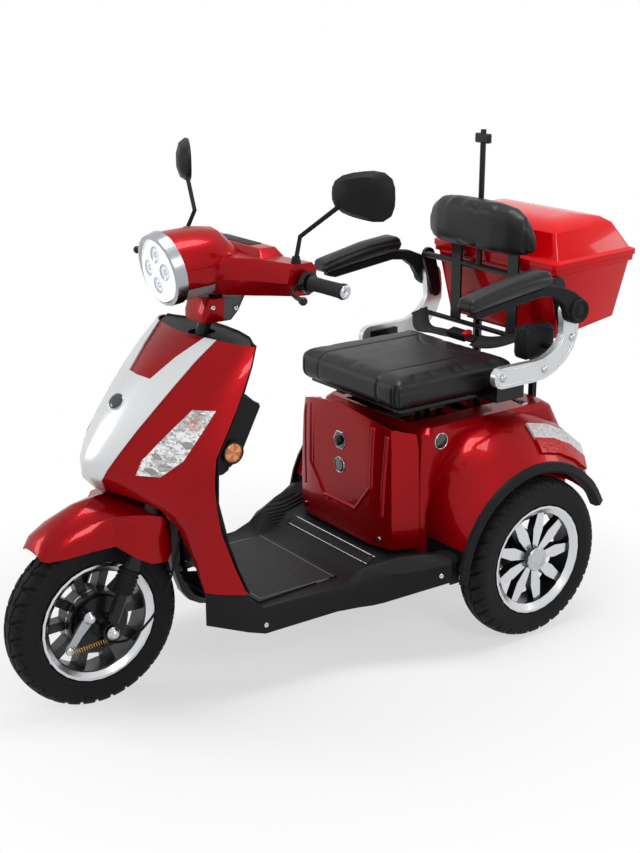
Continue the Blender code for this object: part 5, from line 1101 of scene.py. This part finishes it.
red_button, tree = finish_named("abs_red_button", "#D3101A", 0.28, specular=0.4)
dress(tree, relief=(texture(tree, "Wave", 160.0, bands_direction="X")["Fac"], 0.3, 0.0006))
for name, middle, size, material, slot in (
    ("buckle_body", (-0.022, 0.06, 0.696), (0.062, 0.03, 0.02), black_grain, "plastic_black"),
    ("buckle_button", (0.006, 0.063, 0.7005), (0.016, 0.026, 0.018), red_button, "lens_red"),
    ("buckle_tongue", (0.026, 0.063, 0.693), (0.03, 0.03, 0.008), black_grain, "plastic_black"),
):
    moulded_piece(name, middle, size, BUCKLE_TURN, 0.003, material, "seat")

# Belt reel. Its moulded housing is ribbed along the top and the front. It is bolted to the seat's
# left bracket.
reel, tree, old = variant(black_grain, "polypropylene_black_ribbed")
ribbing = texture(tree, "Wave", 26.0, bands_direction="X", wave_profile="TRI")["Fac"]
dress(tree, relief=(ribbing, 0.9, 0.003))
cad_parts["belt_retractor"].data.materials[0] = reel

# Seat release. A flat zinc-plated lever under the left edge of the seat, which frees the slide when
# it is pulled up.
LEVER_MIDDLE, LEVER_SIZE = (0.232, 0.028, 0.584), (0.06, 0.02, 0.004)
moulded_piece("seat_release_lever", LEVER_MIDDLE, LEVER_SIZE, (0, 0.12, 0.1), 0.0015, zinc, "seat")

# Seat brackets. Cast aluminium, painted silver, with a raised bead that follows the rim of their
# outer face.
BEAD_INSET = 0.0075
BEAD_SPACING = 0.004
BEAD_SECTION = mm((-2.6, -1), (-1.8, 1), (0, 1.8), (1.8, 1), (2.6, -1))


def outer_rim(solid, side):
    """The corners round a plate's outer face, in order."""
    used = {}
    for face in solid.data.polygons:
        if face.normal.x * side > 0.9:
            spots = [solid.matrix_world @ solid.data.vertices[i].co for i in face.vertices]
            ring = [tuple(round(c, 5) for c in spot) for spot in spots]
            for pair in zip(ring, ring[1:] + ring[:1]):
                used.setdefault(tuple(sorted(pair)), []).append(pair)
    links = {}
    for a, b in (key for key, pairs in used.items() if len(pairs) == 1):
        links.setdefault(a, []).append(b)
        links.setdefault(b, []).append(a)
    loop = [min(links)]
    loop.append(links[loop[0]][0])
    while loop[-1] != loop[0]:
        loop.append(next(spot for spot in links[loop[-1]] if spot != loop[-2]))
    return [Vector(spot) for spot in loop[:-1]]


for side_name, side in SIDES:
    rim = outer_rim(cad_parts["seat_bracket_" + side_name], side)
    middle = sum(rim, Vector()) / len(rim)
    out = Vector((side, 0, 0))
    area = sum((a - middle).cross(b - middle).dot(out) for a, b in zip(rim, rim[1:] + rim[:1]))
    kept = []
    for i, spot in enumerate(rim):
        along = (rim[(i + 1) % len(rim)] - rim[i - 1]).normalized()
        inward = spot + (out.cross(along) if area > 0 else along.cross(out)) * BEAD_INSET
        if not kept or (inward - kept[-1]).length > BEAD_SPACING:
            kept.append(inward)
    name = "bracket_bead_" + side_name
    ups = [out] * len(kept)
    swept_piece(name, kept, ups, BEAD_SECTION, silver_paint, "seat", "alloy_silver", closed=True)

# Armrest pivots. A moulded knob with a recessed disc covers each hinge pin, and turns with the
# armrest.
KNOB_PLACE = (0.2965, 0.165, 0.804)
KNOB = mm((30, -6), (31, 0), (30.4, 5), (28.2, 7.2), (24, 7.6), (22.2, 4), (16, 3.4), (14, 5.6), (5, 6.2))
for side_name, side in SIDES:
    seats = [(place(KNOB_PLACE[0] * side, *KNOB_PLACE[1:]), (side, 0, 0))]
    body = "armrest_" + side_name
    turned_piece("armrest_knob_" + side_name, seats, KNOB, DISC_STEPS, black_grain, body)

# Drum brake. A polished band round the drum, a brass return spring on the cable's end, and a nut on
# each end of the fork's axle and on both ends of the brake arm.
DRUM_X = 0.01
DRUM_BAND = mm((69, 0), (73.5, 1.5), (74.5, 6), (73.5, 15), (69.5, 18), (67, 16))
AXLE_NUT = mm((15, -1), (15, 2), (10.5, 2.4), (10.5, 10), (8.5, 11.6), (5, 15))
NUT_X = 0.103
ARM_NUTS = (((0.0745, -1.1385, 0.1765), DOME_BOLT), ((0.0745, -1.0865, 0.2425), AXLE_NUT))
SPRING_START = (0.08, -1.138, 0.1745)
SPRING_END = (0.085, -1.052, 0.1835)
SPRING_TURNS = 15
TURN_STEPS = 16
SPRING_RADIUS = 0.0046
WIRE_RADIUS = 0.0008


def round_section(radius, count):
    """A round wire's section for a sweep."""
    turns = [2 * math.pi * k / count for k in range(count)]
    return [(radius * math.cos(turn), radius * math.sin(turn)) for turn in turns]


seats = [(place(DRUM_X, -WHEELBASE, TYRE_RADIUS), (1, 0, 0))]
turned_piece("drum_band", seats, DRUM_BAND, 64, zinc, "front_wheel")
seats = [(place(NUT_X * side, -WHEELBASE, TYRE_RADIUS), (side, 0, 0)) for _, side in SIDES]
turned_piece("fork_axle_nuts", seats, AXLE_NUT, 30, zinc, "steering")
brass, tree = finish_named("spring_steel_brass_plated", "#C9A23C", 0.28, 1.0)
dress(tree, rough=ranged(tree, noise(tree, 240.0), 0.2, 0.42))
start, end = place(*SPRING_START), place(*SPRING_END)
along = (end - start).normalized()
first = along.orthogonal().normalized()
second = along.cross(first)
count = SPRING_TURNS * TURN_STEPS
path, ups = [], []
for i in range(count + 1):
    angle = 2 * math.pi * i / TURN_STEPS
    off = first * math.cos(angle) + second * math.sin(angle)
    path.append(start.lerp(end, i / count) + off * SPRING_RADIUS)
    ups.append(off)
swept_piece("brake_return_spring", path, ups, round_section(WIRE_RADIUS, 6), brass, "steering", "chrome")
bm = bmesh.new()
for spot, profile in ARM_NUTS:
    turned(bm, place(*spot), (1, 0, 0), profile, HEAD_STEPS)
add_piece("brake_arm_nuts", bm, zinc, "steering")

# Bag hook. A bent chromed rod under the glove box on the left, with its end turned up to hold a
# bag's handle.
HOOK_ROUTE = mm(
    (150, -770, 575), (158, -782, 562), (170, -792, 555), (184, -796, 556), (192, -794, 562),
    (193, -790, 569),
)
HOOK_RADIUS = 0.0022
path = [place(*point) for point in HOOK_ROUTE]
ups = [Vector((0.0, -0.5, 1.0)).normalized()] * len(path)
swept_piece("bag_hook", path, ups, round_section(HOOK_RADIUS, 8), zinc, "chassis", "chrome")
